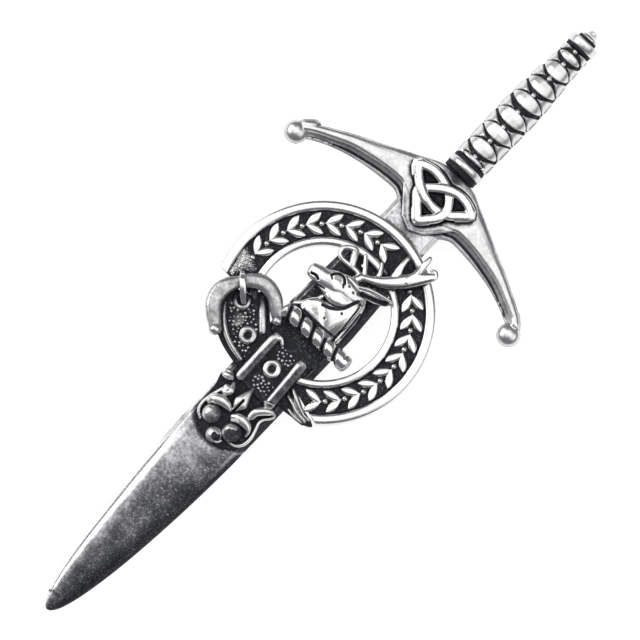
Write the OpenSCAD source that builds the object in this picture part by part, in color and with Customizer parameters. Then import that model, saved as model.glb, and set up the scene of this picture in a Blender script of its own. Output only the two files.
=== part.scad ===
// Kilt pin in the form of a small sword that carries a strap-and-buckle crest badge.
// X runs across the sword, +Y along it towards the pommel and +Z out of its face.
// The origin is at mid length, on the surface that the fastening at the back rests on.

/* [Sword] */
// Length from the point to the end of the button
sword_l = 100; // [90:1:112]
// Height of the sword's flat back above the surface that it rests on
stand_off = 4.6; // [4.4:0.1:6]
// Clearance between neighbouring pieces
gap = 0.08; // [0.05:0.01:0.12]

/* [Blade] */
// Width of the blade where it is widest
blade_w = 8.9; // [8.4:0.1:9.6]
// Width of the blade just below the guard
ricasso_w = 7.4; // [6.8:0.1:8]
// Thickness along the middle of the pointed part
blade_t = 2.4; // [2.1:0.1:3]
// Thickness at the cutting edges
edge_t = 0.8; // [0.5:0.1:1.1]
// Thickness of the flat stretch that carries the badge
land_t = 1.9; // [1.6:0.1:2]
// Length of the pointed part
point_l = 31.4; // [28:0.2:34]

/* [Guard] */
// Distance between the centres of the two balls
guard_span = 36.8; // [33:0.2:42]
// Height from the centres of the balls to the top of the boss
guard_drop = 10.4; // [9.4:0.1:12]
// Thickness of the guard
guard_t = 2.7; // [2.5:0.1:3.4]
// Diameter of each ball
ball_d = 2.95; // [2.4:0.05:3.4]

/* [Knot] */
// Distance between the strand's upper corners
knot_w = 9.4; // [8.2:0.1:10]
// Distance from the line of the upper corners to the lower corner
knot_l = 5.2; // [4.6:0.1:5.5]
// Width of the strand
knot_strand = 1.2; // [0.9:0.05:1.4]
// Height of the knot above the boss
knot_t = 1.1; // [0.8:0.05:1.5]

/* [Grip] */
// Length of the patterned grip
grip_l = 19.8; // [17:0.2:24]
// Width of the grip at its middle
grip_w = 5.1; // [4.4:0.1:6]
// Height of the grip's axis above the sword's back
grip_axis = 1.2; // [0.9:0.05:1.6]
// Distance from one stud to the next
stud_pitch = 2.62; // [2.2:0.02:3.2]
// Diameter of each stud
stud_d = 0.7; // [0.5:0.05:0.9]
// Height of the pads above the grooves between them
pad_relief = 0.3; // [0.15:0.05:0.45]
// Length of the collar between the boss and the grip
collar_l = 2.3; // [1.8:0.1:3.2]
// Length of the pommel from the grip to the end of the button
pommel_l = 2.8; // [2.2:0.1:3.6]
// Diameter of the pommel's cap
cap_d = 4.1; // [3.6:0.1:4.8]

/* [Circlet] */
// Outer diameter of the circlet
ring_d = 28.2; // [26.8:0.2:29.4]
// Diameter of the opening inside the circlet
ring_bore_d = 17; // [16.2:0.2:17.6]
// Width of each raised rim
rim_w = 1.2; // [0.8:0.05:1.3]
// Distance from the top of the guard's boss down to the circlet's centre
ring_below_guard = 24.5; // [23.7:0.1:25.1]
// Distance of the circlet's centre to the left of the sword's middle
ring_left = 0.4; // [0:0.05:0.6]
// Height of the circlet's underside above the sword's back
ring_under = 0.9; // [0.5:0.1:1.1]
// Height of its sunk floor above the sword's back
floor_h = 2.3; // [2.2:0.05:2.5]
// Height of its rims above the sword's back
rim_h = 2.8; // [2.65:0.05:3.1]
// Length of each leaf of the ornament
leaf_l = 1.75; // [1.3:0.05:2]
// Width of each leaf of the ornament
leaf_w = 0.72; // [0.5:0.02:0.85]

/* [Belt] */
// Width of the buckle's frame
frame_w = 1.75; // [1.4:0.05:2]
// Thickness of the buckle's frame
frame_t = 1.4; // [1:0.05:1.7]
// Width of the buckle's tongue
prong_w = 0.75; // [0.5:0.05:0.9]
// Width of the raised border of the belt's tail
tail_rib_w = 0.65; // [0.45:0.05:0.9]
// Distance of the hanging end's middle to the right of the sword's middle
end_right = 0.2; // [0:0.05:0.35]
// Width of the hanging end of the belt
end_w = 6.4; // [5.6:0.1:6.8]
// Length of the hanging end of the belt
end_l = 6.7; // [6:0.1:7.2]
// Width of the border of the hanging end
end_rib_w = 1.25; // [0.9:0.05:1.5]
// Thickness of the belt where it lies over another piece
belt_t = 0.5; // [0.4:0.05:0.7]
// Height of the borders and eyelets above the belt
belt_relief = 0.5; // [0.3:0.05:0.7]
// Outer diameter of an eyelet
eyelet_d = 2.4; // [1.9:0.1:2.7]
// Height of the chape from its lowest ball to the tip of its leaf
chape_l = 8.4; // [7.8:0.1:9]
// Height of the chape's relief above the blade
chape_t = 2; // [1.6:0.1:2.4]

/* [Crest] */
// Width that the crest is drawn to, which is that of the wreath and what hides its end
crest_w = 12.3; // [11.6:0.1:12.8]
// Diameter of the wreath
wreath_d = 2.35; // [1.9:0.05:2.4]
// Length of the wreath
wreath_l = 11; // [10:0.1:11.5]
// Distance between the grooves of the twisted wreath
twist_pitch = 1.9; // [1.6:0.05:2.4]
// Distance of the wreath's axis below the circlet's centre
wreath_drop = 2.9; // [2.5:0.05:2.95]
// Height of the stag's relief above the blade
stag_t = 2.9; // [2.4:0.1:3.4]
// Height of the antlers' relief above the circlet's rims
antler_t = 1.2; // [0.9:0.05:1.5]

/* [Back fastening] */
// Length of the bar that backs the blade
bar_l = 44; // [40:1:48]
// Width of the bar
bar_w = 4; // [3.4:0.1:4.6]
// Thickness of the bar
bar_t = 0.8; // [0.6:0.1:1]
// Width of the two blocks that the pin rests on
block_w = 6; // [5:0.2:7]
// Length of each block along the blade
block_l = 3.8; // [3.2:0.2:5]
// Diameter of the needle
needle_d = 1.1; // [0.9:0.05:1.3]
// Height of the needle's axis above the surface
needle_h = 1.3; // [1.1:0.05:1.6]
// Length of the needle beyond the catch block
needle_tip_l = 4; // [3:0.5:6]

/* [Hidden] */
$fn = 64;

BRIGHT = [0.78, 0.78, 0.8];
STEEL = [0.6, 0.61, 0.64];
DARK = [0.34, 0.34, 0.38];

tip_y = -sword_l / 2;
pommel_y = sword_l / 2 - pommel_l;
grip_y = pommel_y - grip_l;
collar_y = grip_y - collar_l;
guard_y = collar_y;
blade_end_y = guard_y - 0.5 * guard_drop;
ring_y = guard_y - ring_below_guard;
ring_r = ring_d / 2;
bore_r = ring_bore_d / 2;
rim_top = stand_off + rim_h;
land_z = stand_off + land_t + gap;
wreath_y = ring_y - wreath_drop;
tail_top = stand_off + floor_h + 0.2 * belt_relief;
end_z = tail_top + gap;
end_y = ring_y - 0.91 * ring_r;
chape_y = end_y - gap - chape_l;
knot_y = guard_y - 0.27 * guard_drop;
boss_z = stand_off + guard_t;

// Columns of every strand's table: the middle's place, half the width and half the height
ROW_X = 0;
ROW_Y = 1;
ROW_Z = 2;
ROW_W = 3;
ROW_H = 4;

// Point at share t of the smooth curve from b to c, with a before them and d after them
function between(a, b, c, d, t) =
    0.5 * (2 * b + (c - a) * t + (2 * a - 5 * b + 4 * c - d) * t * t + (3 * b - a - 3 * c + d) * t * t * t);

// Smooth open curve through the rows, with n steps from each to the next
function open_curve(rows, n) =
    let(last = len(rows) - 1)
    concat(
        [for (i = [0:last - 1], s = [0:n - 1])
            between(rows[max(i - 1, 0)], rows[i], rows[i + 1], rows[min(i + 2, last)], s / n)],
        [rows[last]]
    );

// Smooth closed curve through the rows, with n steps from each to the next
function closed_curve(rows, n) =
    let(m = len(rows))
    [for (i = [0:m - 1], s = [0:n - 1])
        between(rows[(i + m - 1) % m], rows[i], rows[(i + 1) % m], rows[(i + 2) % m], s / n)];

// Rows of shares made into lengths: across is the width that they follow, high the height
function sized(rows, origin, across, high) =
    [for (r = rows) [
        origin[0] + across * r[ROW_X],
        origin[1] + across * r[ROW_Y],
        origin[2] + high * r[ROW_Z],
        across * r[ROW_W],
        high * r[ROW_H]
    ]];

// Closed skin over a list of rings of points, each ring clockwise as seen from before the first
module loft(rings) {
    n = len(rings[0]);
    last = len(rings) - 1;
    polyhedron(
        points = [for (r = rings) each r],
        faces = concat(
            [[for (j = [0:n - 1]) j]],
            [for (i = [0:last - 1], j = [0:n - 1])
                [i * n + j, (i + 1) * n + j, (i + 1) * n + (j + 1) % n]],
            [for (i = [0:last - 1], j = [0:n - 1])
                [i * n + j, (i + 1) * n + (j + 1) % n, i * n + (j + 1) % n]],
            [[for (j = [n - 1:-1:0]) last * n + j]]
        ),
        convexity = 10
    );
}

// Rounded strand along the smooth curve through its rows, standing on the level called floor
module strand(rows, floor, steps = 3, sides = 10) {
    c = open_curve(rows, steps);
    last = len(c) - 1;
    rings = [for (i = [0:last])
        let(
            along = c[min(i + 1, last)] - c[max(i - 1, 0)],
            side = [-along[1], along[0]] / norm([along[0], along[1]])
        )
        [for (j = [0:sides - 1])
            let(a = 360 * j / sides)
            [
                c[i][ROW_X] + side[0] * c[i][ROW_W] * cos(a),
                c[i][ROW_Y] + side[1] * c[i][ROW_W] * cos(a),
                max(c[i][ROW_Z] + c[i][ROW_H] * sin(a), floor)
            ]]
    ];
    for (i = [0:last - 1])
        hull() polyhedron(concat(rings[i], rings[i + 1]), [[for (j = [0:2 * sides - 1]) j]]);
}

// Body turned about the sword's length, with its back cut flat
module turned(profile, y) {
    difference() {
        translate([0, y, stand_off + grip_axis]) rotate([-90, 0, 0]) rotate_extrude() polygon(profile);
        translate([-grip_w, y - grip_w, stand_off - 2 * grip_w])
            cube([2 * grip_w, sword_l, 2 * grip_w]);
    }
}

// Room that the blade needs inside a piece that is fitted over it
module blade_room(w) {
    translate([-w / 2 - gap, tip_y, stand_off - blade_t])
        cube([w + 2 * gap, blade_end_y + gap - tip_y, blade_t + land_t + gap]);
}

// Half the blade's width at a distance s from the point
function blade_half(s) =
    let(
        t = min(s / point_l, 1),
        taper = max(0, min(1, (s + tip_y - ring_y) / ring_r))
    )
    max(0.14, blade_w / 2 * pow(1 - pow(1 - t, 1.6), 0.477)) + taper * (ricasso_w - blade_w) / 2;

// Places across the blade, as shares of half its width, and the height of its convex face there
BLADE_ACROSS = [-1, -0.84, -0.6, -0.3, 0, 0.3, 0.6, 0.84, 1];
function convex(x) = pow(1 - pow(abs(x), 2.2), 0.8);

module blade() {
    // Distance from the point at which the face has turned from convex to flat
    flat_s = chape_y - tip_y - 0.06 * chape_l;
    // Length over which it turns
    turn_l = 1.25 * blade_t;
    stations = concat(
        [for (i = [0:15]) (flat_s - turn_l) * pow(i / 15, 1.6)],
        [flat_s - turn_l / 2, flat_s, max(flat_s + turn_l / 3, point_l)],
        [for (i = [0:4]) ring_y - tip_y + ring_r * i / 4],
        [blade_end_y - tip_y]
    );
    color(STEEL) translate([0, tip_y, stand_off]) loft([for (s = stations)
        let(
            half = blade_half(s),
            rise = pow(min(1, 0.25 + s / (0.6 * point_l)), 0.7),
            flatness = max(0, min(1, (s - flat_s + turn_l) / turn_l)),
            rim = edge_t * rise
        )
        concat(
            [[-half, s, 0]],
            [for (x = BLADE_ACROSS)
                [
                    half * x,
                    s,
                    rim + (1 - flatness) * (blade_t - edge_t) * rise * convex(x)
                        + flatness * (land_t - edge_t) * min(1, (1 - abs(x)) / 0.16)
                ]],
            [[half, s, 0]]
        )
    ]);
}

// Quillon outline: place outwards as a share of half the span, then its upper and lower edges
// as shares of the drop below the top of the boss
QUILLON = [
    [0.00, 0.00, 0.66],
    [0.13, 0.01, 0.67],
    [0.20, 0.07, 0.69],
    [0.28, 0.14, 0.64],
    [0.41, 0.25, 0.65],
    [0.55, 0.37, 0.69],
    [0.68, 0.48, 0.74],
    [0.82, 0.61, 0.83],
    [0.92, 0.72, 0.92],
    [0.99, 0.82, 0.98]
];
// Tongue of the boss below the knot: half width as a share of the knot's width, and the drop share
TONGUE = [[0.42, 0.50], [0.38, 0.60], [0.32, 0.70], [0.20, 0.83], [0.05, 0.93]];

module guard() {
    half = open_curve(QUILLON, 2);
    // Where the neck of each ball meets its quillon, from the ball's centre
    neck_in = 0.09 * guard_span / 2;
    neck_up = 0.2 * guard_drop;
    all = concat(
        [for (i = [len(half) - 1:-1:1]) [-half[i][0], half[i][1], half[i][2]]],
        half
    );
    color(BRIGHT) {
        difference() {
            union() {
                translate([0, guard_y, stand_off]) loft([for (q = all)
                    let(
                        x = q[0] * guard_span / 2,
                        top = -q[1] * guard_drop,
                        low = -q[2] * guard_drop,
                        w = top - low
                    )
                    [
                        [x, top - 0.06 * w, 0],
                        [x, top, 0.1 * guard_t],
                        [x, top, 0.8 * guard_t],
                        [x, top - 0.12 * w, guard_t],
                        [x, low + 0.2 * w, guard_t],
                        [x, low + 0.05 * w, 0.9 * guard_t],
                        [x, low, 0.72 * guard_t],
                        [x, low + 0.07 * w, 0.58 * guard_t],
                        [x, low, 0.42 * guard_t],
                        [x, low + 0.06 * w, 0]
                    ]
                ]);
                translate([0, guard_y, stand_off + land_t])
                    for (i = [0:len(TONGUE) - 2])
                        hull() linear_extrude(guard_t - land_t)
                            polygon([for (t = [TONGUE[i], TONGUE[i + 1]], side = [-1, 1])
                                [side * t[0] * knot_w, -t[1] * guard_drop]]);
                for (side = [-1, 1])
                    translate([side * guard_span / 2, guard_y - guard_drop, stand_off + guard_t / 2]) {
                        hull() sphere(d = ball_d, $fn = 20);
                        hull() {
                            sphere(d = 0.8 * ball_d, $fn = 12);
                            translate([-side * neck_in, neck_up, 0]) sphere(d = 0.45 * ball_d, $fn = 12);
                        }
                    }
            }
            blade_room(ricasso_w);
        }
    }
}

module knot() {
    steps = 16;
    // Angle by which each arc runs past its corners, into the next arc
    lap = 5;
    color(BRIGHT)
        for (turn = [0, -120, -240])
            strand(
                [for (i = [0:steps])
                    let(
                        a = 180 - lap + (180 + 2 * lap) * i / steps,
                        px = sqrt(3) * cos(a),
                        py = 1 + sqrt(3) * sin(a),
                        weave = sin(360 * i / steps)
                    )
                    [
                        (px * cos(turn) - py * sin(turn)) * knot_w / sqrt(12),
                        knot_y + (px * sin(turn) + py * cos(turn) - 1) * knot_l / 3,
                        boss_z + gap + knot_t * (0.3 + 0.15 * weave),
                        knot_strand / 2,
                        knot_t * 0.5
                    ]],
                boss_z + gap,
                steps = 1,
                sides = 8
            );
}

module collar() {
    groove = 0.92 * grip_w / 2;
    crown = 0.98 * grip_w / 2;
    color(STEEL) turned([
        [0, 0],
        [groove, 0],
        [groove, 0.3 * collar_l],
        [crown, 0.38 * collar_l],
        [crown, 0.62 * collar_l],
        [groove, 0.72 * collar_l],
        [groove, collar_l - gap],
        [0, collar_l - gap]
    ], collar_y + gap / 2);
}

// Half width of the grip as shares of half its middle width, from the collar to the pommel
GRIP_FORM = [0.95, 0.97, 1, 1, 0.96, 0.88, 0.80, 0.78];

module grip() {
    length = grip_l - gap;
    rings = round(8 * length / stud_pitch);
    // Angle past the horizontal at which the section meets the sword's flat back
    tuck = asin(grip_axis / (grip_w / 2));
    // Angle from one lengthwise row of studs to the next
    row_turn = 66;
    // Steps of a quarter of that angle, and the last steps on to the flat back
    quarters = [for (k = [-7:7]) k * row_turn / 4];
    turns = concat([-90 - tuck], quarters, [90 + tuck]);
    groove_share = 0.15;
    color(STEEL) {
        translate([0, grip_y + gap / 2, stand_off + grip_axis]) {
            loft([for (i = [0:rings])
                let(
                    y = min(length, i * stud_pitch / 8),
                    place = i / rings * (len(GRIP_FORM) - 1),
                    low = min(floor(place), len(GRIP_FORM) - 2),
                    share = GRIP_FORM[low] + (place - low) * (GRIP_FORM[low + 1] - GRIP_FORM[low]),
                    half = grip_w / 2 * share
                )
                [for (turn = turns)
                    let(
                        a = 90 - turn,
                        across = turn / row_turn,
                        along = 2 * y / stud_pitch,
                        d1 = abs((along + across) / 2 - round((along + across) / 2)),
                        d2 = abs((along - across) / 2 - round((along - across) / 2)),
                        pad = min(1, min(d1, d2) / groove_share),
                        r = half - pad_relief * (1 - pad)
                    )
                    [r * cos(a), y, max(r * sin(a), -grip_axis)]]
            ]);
            for (n = [1:floor(length / stud_pitch)]) {
                half = grip_w / 2 * GRIP_FORM[min(n, len(GRIP_FORM) - 1)];
                translate([0, n * stud_pitch, half - pad_relief]) sphere(d = stud_d, $fn = 12);
            }
        }
    }
}

module pommel() {
    r = cap_d / 2;
    color(STEEL) turned([
        [0, gap],
        [0.88 * r, gap],
        [0.88 * r, 0.12 * pommel_l],
        [r, 0.2 * pommel_l],
        [r, 0.44 * pommel_l],
        [0.8 * r, 0.5 * pommel_l],
        [0.66 * r, 0.56 * pommel_l],
        [0.62 * r, 0.68 * pommel_l],
        [0.42 * r, 0.78 * pommel_l],
        [0.27 * r, 0.82 * pommel_l],
        [0.27 * r, 0.94 * pommel_l],
        [0.18 * r, pommel_l],
        [0, pommel_l]
    ], pommel_y);
}

// Flat-topped leaf with pointed ends, its length along X
module leaf(l, w, h) {
    steps = 8;
    half = [for (i = [0:steps]) [l * (i / steps - 0.5), w / 2 * sin(180 * i / steps)]];
    linear_extrude(h)
        polygon(concat(half, [for (i = [steps - 1:-1:1]) [half[i][0], -half[i][1]]]));
}

// Where the circlet's two ends are cut below its centre, as shares of its radius
RING_LEFT_CUT = 0.33;
RING_RIGHT_CUT = [0.2, 0.64];
// Slope of the right cut, which follows the fold that lies over it
RING_RIGHT_SLOPE = 16;

module circlet() {
    start = -62;
    sweep = 265;
    first_motif = -40;
    motif_step = 12.8;
    motif_r = (ring_r + bore_r) / 2;
    motif_h = 0.9 * (rim_h - floor_h);
    // Half the distance between the two leaves of a pair, and how far each turns outwards
    leaf_spread = 0.35 * leaf_l;
    leaf_turn = 32;
    pellet_r = 0.36 * leaf_w;
    rim_bevel = 0.2 * rim_w;
    color(BRIGHT) {
        difference() {
            translate([-ring_left, ring_y, stand_off + ring_under])
                rotate([0, 0, start]) rotate_extrude(angle = sweep) polygon([
                    [bore_r, 0],
                    [ring_r, 0],
                    [ring_r, rim_h - ring_under - rim_bevel],
                    [ring_r - rim_bevel, rim_h - ring_under],
                    [ring_r - rim_w, rim_h - ring_under],
                    [ring_r - rim_w, floor_h - ring_under],
                    [bore_r + rim_w, floor_h - ring_under],
                    [bore_r + rim_w, rim_h - ring_under],
                    [bore_r, rim_h - ring_under]
                ]);
            blade_room(blade_w);
            translate([-1.1 * ring_r, ring_y - (1.1 + RING_LEFT_CUT) * ring_r, 0])
                cube([(1.1 + RING_RIGHT_CUT[0]) * ring_r, 1.1 * ring_r, 2 * stand_off]);
            translate([RING_RIGHT_CUT[0] * ring_r, ring_y - RING_RIGHT_CUT[1] * ring_r, 0])
                rotate([0, 0, -RING_RIGHT_SLOPE])
                    translate([-0.2 * ring_r, -ring_r, 0])
                        cube([1.2 * ring_r, ring_r, 2 * stand_off]);
        }
        for (i = [0:18]) {
            turn = first_motif + motif_step * i;
            translate([-ring_left, ring_y, stand_off + floor_h]) rotate([0, 0, turn]) {
                for (side = [-1, 1])
                    translate([motif_r + side * leaf_spread, 0, 0])
                        rotate([0, 0, 90 + side * leaf_turn]) leaf(leaf_l, leaf_w, motif_h);
                rotate([0, 0, motif_step / 2]) translate([motif_r, 0, 0])
                    cylinder(r = pellet_r, h = motif_h);
            }
        }
    }
}

// Outline of the belt's tail and of its far fold, as shares of the circlet's radius, about the
// place on the sword's middle that is level with the circlet's centre
TAIL = [
    [-0.86, -0.37], [-0.79, -0.53], [-0.71, -0.66], [-0.57, -0.78], [-0.40, -0.84], [-0.22, -0.87],
    [0.00, -0.88], [0.22, -0.88], [0.42, -0.86], [0.54, -0.84], [0.60, -0.80], [0.54, -0.77],
    [0.42, -0.74], [0.24, -0.69], [0.08, -0.62], [-0.16, -0.48], [-0.29, -0.40], [-0.41, -0.29],
    [-0.48, -0.27], [-0.53, -0.31], [-0.62, -0.37]
];
// Borders of the tail and ribs of its fold, in the same shares
TAIL_OUTER_RIB = [[-0.71, -0.53], [-0.63, -0.63], [-0.56, -0.69], [-0.47, -0.74], [-0.28, -0.80]];
TAIL_INNER_RIB = [[-0.50, -0.30], [-0.44, -0.34], [-0.39, -0.39], [-0.30, -0.48]];
FOLD_UPPER_RIB = [[0.26, -0.71], [0.35, -0.74], [0.45, -0.78], [0.56, -0.79]];
FOLD_LOWER_RIB = [[0.27, -0.77], [0.35, -0.80], [0.44, -0.83]];
TAIL_EYELETS = [[-0.37, -0.60], [-0.61, -0.42]];

// Section of a raised border, from its left foot to its right: shares of half its width and of its relief
RIB_SECTION = [[1, -1], [1, 0.6], [0.6, 1], [-0.6, 1], [-1, 0.6], [-1, -1]];

// Raised border of width w that runs through places in those shares
module belt_rib(places, w, top) {
    path = open_curve(places, 2);
    last = len(path) - 1;
    loft([for (i = [0:last])
        let(
            along = path[min(i + 1, last)] - path[max(i - 1, 0)],
            side = [-along[1], along[0]] / norm(along) * w / 2
        )
        [for (p = RIB_SECTION)
            [
                path[i][0] * ring_r + p[0] * side[0],
                ring_y + path[i][1] * ring_r + p[0] * side[1],
                top + p[1] * belt_relief
            ]]
    ]);
}

module eyelet(h) {
    difference() {
        cylinder(d = eyelet_d, h = h);
        translate([0, 0, -h]) cylinder(d = 0.4 * eyelet_d, h = 3 * h);
    }
}

module belt_tail() {
    color(DARK) difference() {
        union() {
            translate([0, ring_y, stand_off + ring_under])
                linear_extrude(tail_top - stand_off - ring_under)
                    polygon(closed_curve([for (p = TAIL) p * ring_r], 3));
            belt_rib(TAIL_OUTER_RIB, tail_rib_w, tail_top);
            belt_rib(TAIL_INNER_RIB, tail_rib_w, tail_top);
            belt_rib(FOLD_UPPER_RIB, tail_rib_w, tail_top);
            belt_rib(FOLD_LOWER_RIB, tail_rib_w, tail_top);
            for (p = TAIL_EYELETS)
                translate([p[0] * ring_r, ring_y + p[1] * ring_r, tail_top - gap])
                    eyelet(0.7 * belt_relief + gap);
        }
        blade_room(blade_w);
    }
}

// Outline of the hanging end: shares of its width about its middle, and of its length from below
BELT_END = [[-0.5, 0], [0.5, 0], [0.5, 1], [0.64, 1.12], [-0.02, 1.16], [-0.5, 1.03]];

module belt_end() {
    rib_x = end_w / 2 - end_rib_w / 2;
    // Slope of the hook at the top of the left border
    hook_slope = 8;
    color(STEEL) translate([end_right, end_y, 0]) {
        translate([0, 0, end_z])
            linear_extrude(belt_t)
                polygon([for (p = BELT_END) [p[0] * end_w, p[1] * end_l]]);
        for (side = [-1, 1])
            translate([side * rib_x - end_rib_w / 2, 0, end_z])
                cube([end_rib_w, 0.98 * end_l, belt_t + belt_relief]);
        translate([-rib_x, 0.92 * end_l, end_z])
            rotate([0, 0, -hook_slope])
                cube([0.25 * end_w, 0.5 * end_rib_w, belt_t + 0.8 * belt_relief]);
        translate([-0.05 * end_w, 0.49 * end_l, end_z]) eyelet(belt_t + 0.7 * belt_relief);
    }
}

// Buckle frame from ball to ball: place in the same shares, height of its middle above the rims
// in shares of its thickness, half its width in shares of the frame's width, and half thickness
BUCKLE = [
    [-0.62, -0.77, 0.50, 0.40, 0.46],
    [-0.71, -0.69, 0.48, 0.46, 0.50],
    [-0.80, -0.60, 0.48, 0.50, 0.50],
    [-0.82, -0.50, 0.48, 0.50, 0.50],
    [-0.81, -0.41, 0.46, 0.49, 0.46],
    [-0.755, -0.335, 0.38, 0.38, 0.36],
    [-0.68, -0.25, 0.46, 0.46, 0.46],
    [-0.61, -0.18, 0.50, 0.50, 0.50],
    [-0.52, -0.16, 0.50, 0.50, 0.50],
    [-0.43, -0.19, 0.48, 0.42, 0.48],
    [-0.36, -0.26, 0.46, 0.30, 0.44],
    [-0.29, -0.32, 0.45, 0.24, 0.40],
    [-0.25, -0.345, 0.42, 0.18, 0.30]
];

module buckle() {
    base = rim_top + gap;
    rows = sized(BUCKLE, [0, ring_y, base], ring_r, frame_t);
    last = len(rows) - 1;
    color(BRIGHT) {
        strand(
            [for (i = [0:last])
                [rows[i][ROW_X], rows[i][ROW_Y], rows[i][ROW_Z], BUCKLE[i][ROW_W] * frame_w, rows[i][ROW_H]]],
            base,
            sides = 12
        );
        translate([rows[0][0], rows[0][1], base + 0.47 * frame_t])
            sphere(d = 0.94 * frame_t, $fn = 12);
        translate([rows[last][0], rows[last][1], base + 0.42 * frame_t])
            sphere(d = 0.84 * frame_t, $fn = 12);
    }
}

// Tongue from its loop over the frame to the eyelet: place in the same shares, and height above
// the rims in shares of the frame's thickness
PRONG = [[-0.785, -0.24, 0.98], [-0.75, -0.27, 1.20], [-0.71, -0.305, 1.14], [-0.66, -0.355, 0.80],
    [-0.62, -0.395, 0.52]];

module prong() {
    color(BRIGHT) strand(
        [for (p = PRONG) [
            p[0] * ring_r,
            ring_y + p[1] * ring_r,
            rim_top + p[2] * frame_t,
            prong_w / 2,
            0.32 * prong_w
        ]],
        0
    );
}

// Strands of the chape: place across in shares of half the blade's width, place up in shares of
// the chape's length, height above the blade in shares of the relief, half width and half height
CHAPE_LEAF = [[-0.05, 0.52, 0.5, 0.02, 0.3], [-0.03, 0.64, 0.55, 0.16, 0.38],
    [-0.03, 0.75, 0.55, 0.21, 0.4], [-0.04, 0.87, 0.5, 0.12, 0.35], [-0.05, 0.99, 0.4, 0.02, 0.2]];
CHAPE_LEFT_CURL = [[-0.52, 0.64, 0.45, 0.05, 0.3], [-0.50, 0.74, 0.5, 0.12, 0.38],
    [-0.58, 0.82, 0.5, 0.10, 0.38], [-0.72, 0.88, 0.5, 0.13, 0.4], [-0.88, 0.88, 0.45, 0.14, 0.38],
    [-0.98, 0.86, 0.4, 0.04, 0.2]];
CHAPE_RIGHT_CURL = [[0.42, 0.64, 0.45, 0.06, 0.3], [0.48, 0.76, 0.5, 0.13, 0.38],
    [0.60, 0.87, 0.5, 0.13, 0.4], [0.76, 0.93, 0.5, 0.12, 0.38], [0.88, 0.88, 0.4, 0.08, 0.3]];
CHAPE_LEFT_HOOD = [[-0.82, 0.34, 0.4, 0.04, 0.3], [-0.80, 0.48, 0.5, 0.09, 0.42],
    [-0.62, 0.59, 0.55, 0.13, 0.45], [-0.38, 0.59, 0.55, 0.12, 0.45], [-0.14, 0.51, 0.45, 0.05, 0.3]];
CHAPE_RIGHT_HOOD = [[0.04, 0.48, 0.45, 0.05, 0.3], [0.22, 0.57, 0.55, 0.12, 0.45],
    [0.46, 0.59, 0.55, 0.13, 0.45], [0.68, 0.50, 0.5, 0.09, 0.42], [0.74, 0.37, 0.4, 0.04, 0.3]];
CHAPE_LEFT_RIM = [[-0.90, 0.50, 0.3, 0.04, 0.3], [-0.88, 0.33, 0.3, 0.05, 0.3],
    [-0.74, 0.20, 0.3, 0.05, 0.3], [-0.54, 0.14, 0.3, 0.03, 0.2]];
CHAPE_RIGHT_RIM = [[0.90, 0.82, 0.3, 0.03, 0.25], [0.82, 0.70, 0.3, 0.05, 0.3],
    [0.88, 0.54, 0.3, 0.05, 0.3], [0.88, 0.36, 0.3, 0.05, 0.3], [0.74, 0.21, 0.3, 0.05, 0.3],
    [0.56, 0.17, 0.3, 0.03, 0.2]];
CHAPE_STRANDS = [CHAPE_LEAF, CHAPE_LEFT_CURL, CHAPE_RIGHT_CURL, CHAPE_LEFT_HOOD, CHAPE_RIGHT_HOOD,
    CHAPE_LEFT_RIM, CHAPE_RIGHT_RIM];
// Balls of the chape: place across and up in the same shares, and radius as a share of half the width
CHAPE_BALLS = [[-0.47, 0.36, 0.33], [0.38, 0.33, 0.33], [0.00, 0.12, 0.26]];
// Outline of the chape's backing, in the same shares
CHAPE_BACK = [[-0.60, 0.96], [-0.79, 0.68], [-0.91, 0.4], [-0.66, 0.13], [-0.28, 0.03], [0.28, 0.03],
    [0.66, 0.15], [0.91, 0.42], [0.85, 0.68], [0.62, 0.96]];

// Dome that stands on a flat base
module dome(r, h) {
    rotate_extrude($fn = 16)
        polygon(concat([[0, 0]], [for (i = [0:4]) [r * cos(22.5 * i), h * sin(22.5 * i)]]));
}

module chape() {
    half = blade_w / 2;
    back_t = tail_top - land_z;
    color(STEEL) translate([end_right, chape_y, land_z]) {
        linear_extrude(back_t)
            polygon(closed_curve([for (p = CHAPE_BACK) [p[0] * half, p[1] * chape_l]], 2));
        for (s = CHAPE_STRANDS)
            strand(
                [for (r = s) [
                    r[ROW_X] * half,
                    r[ROW_Y] * chape_l,
                    r[ROW_Z] * chape_t,
                    r[ROW_W] * half,
                    r[ROW_H] * chape_t
                ]],
                0.3 * back_t,
                steps = 2,
                sides = 8
            );
        for (b = CHAPE_BALLS)
            translate([b[0] * half, b[1] * chape_l, back_t / 2])
                dome(b[2] * half, chape_t * 0.85);
    }
}

module wreath() {
    around = 16;
    steps = 44;
    r = wreath_d / 2;
    axis_z = land_z + 0.08 * wreath_d + r;
    start = -0.345 * crest_w;
    groove = 0.22;
    color(BRIGHT) translate([start, wreath_y, axis_z]) loft([for (i = [0:steps])
        let(
            s = i / steps,
            close = sqrt(max(0.02, 1 - pow(max(0, abs(2 * s - 1) - 0.88) / 0.12, 2)))
        )
        [for (j = [0:around - 1])
            let(
                a = 360 * j / around,
                phase = s * wreath_l / twist_pitch - a / 360,
                edge = abs(phase - round(phase)),
                swell = close * r * (1 - groove * pow(1 - min(1, edge / 0.34), 1.5))
            )
            [s * wreath_l, swell * cos(a), swell * sin(a)]]
    ]);
}

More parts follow.
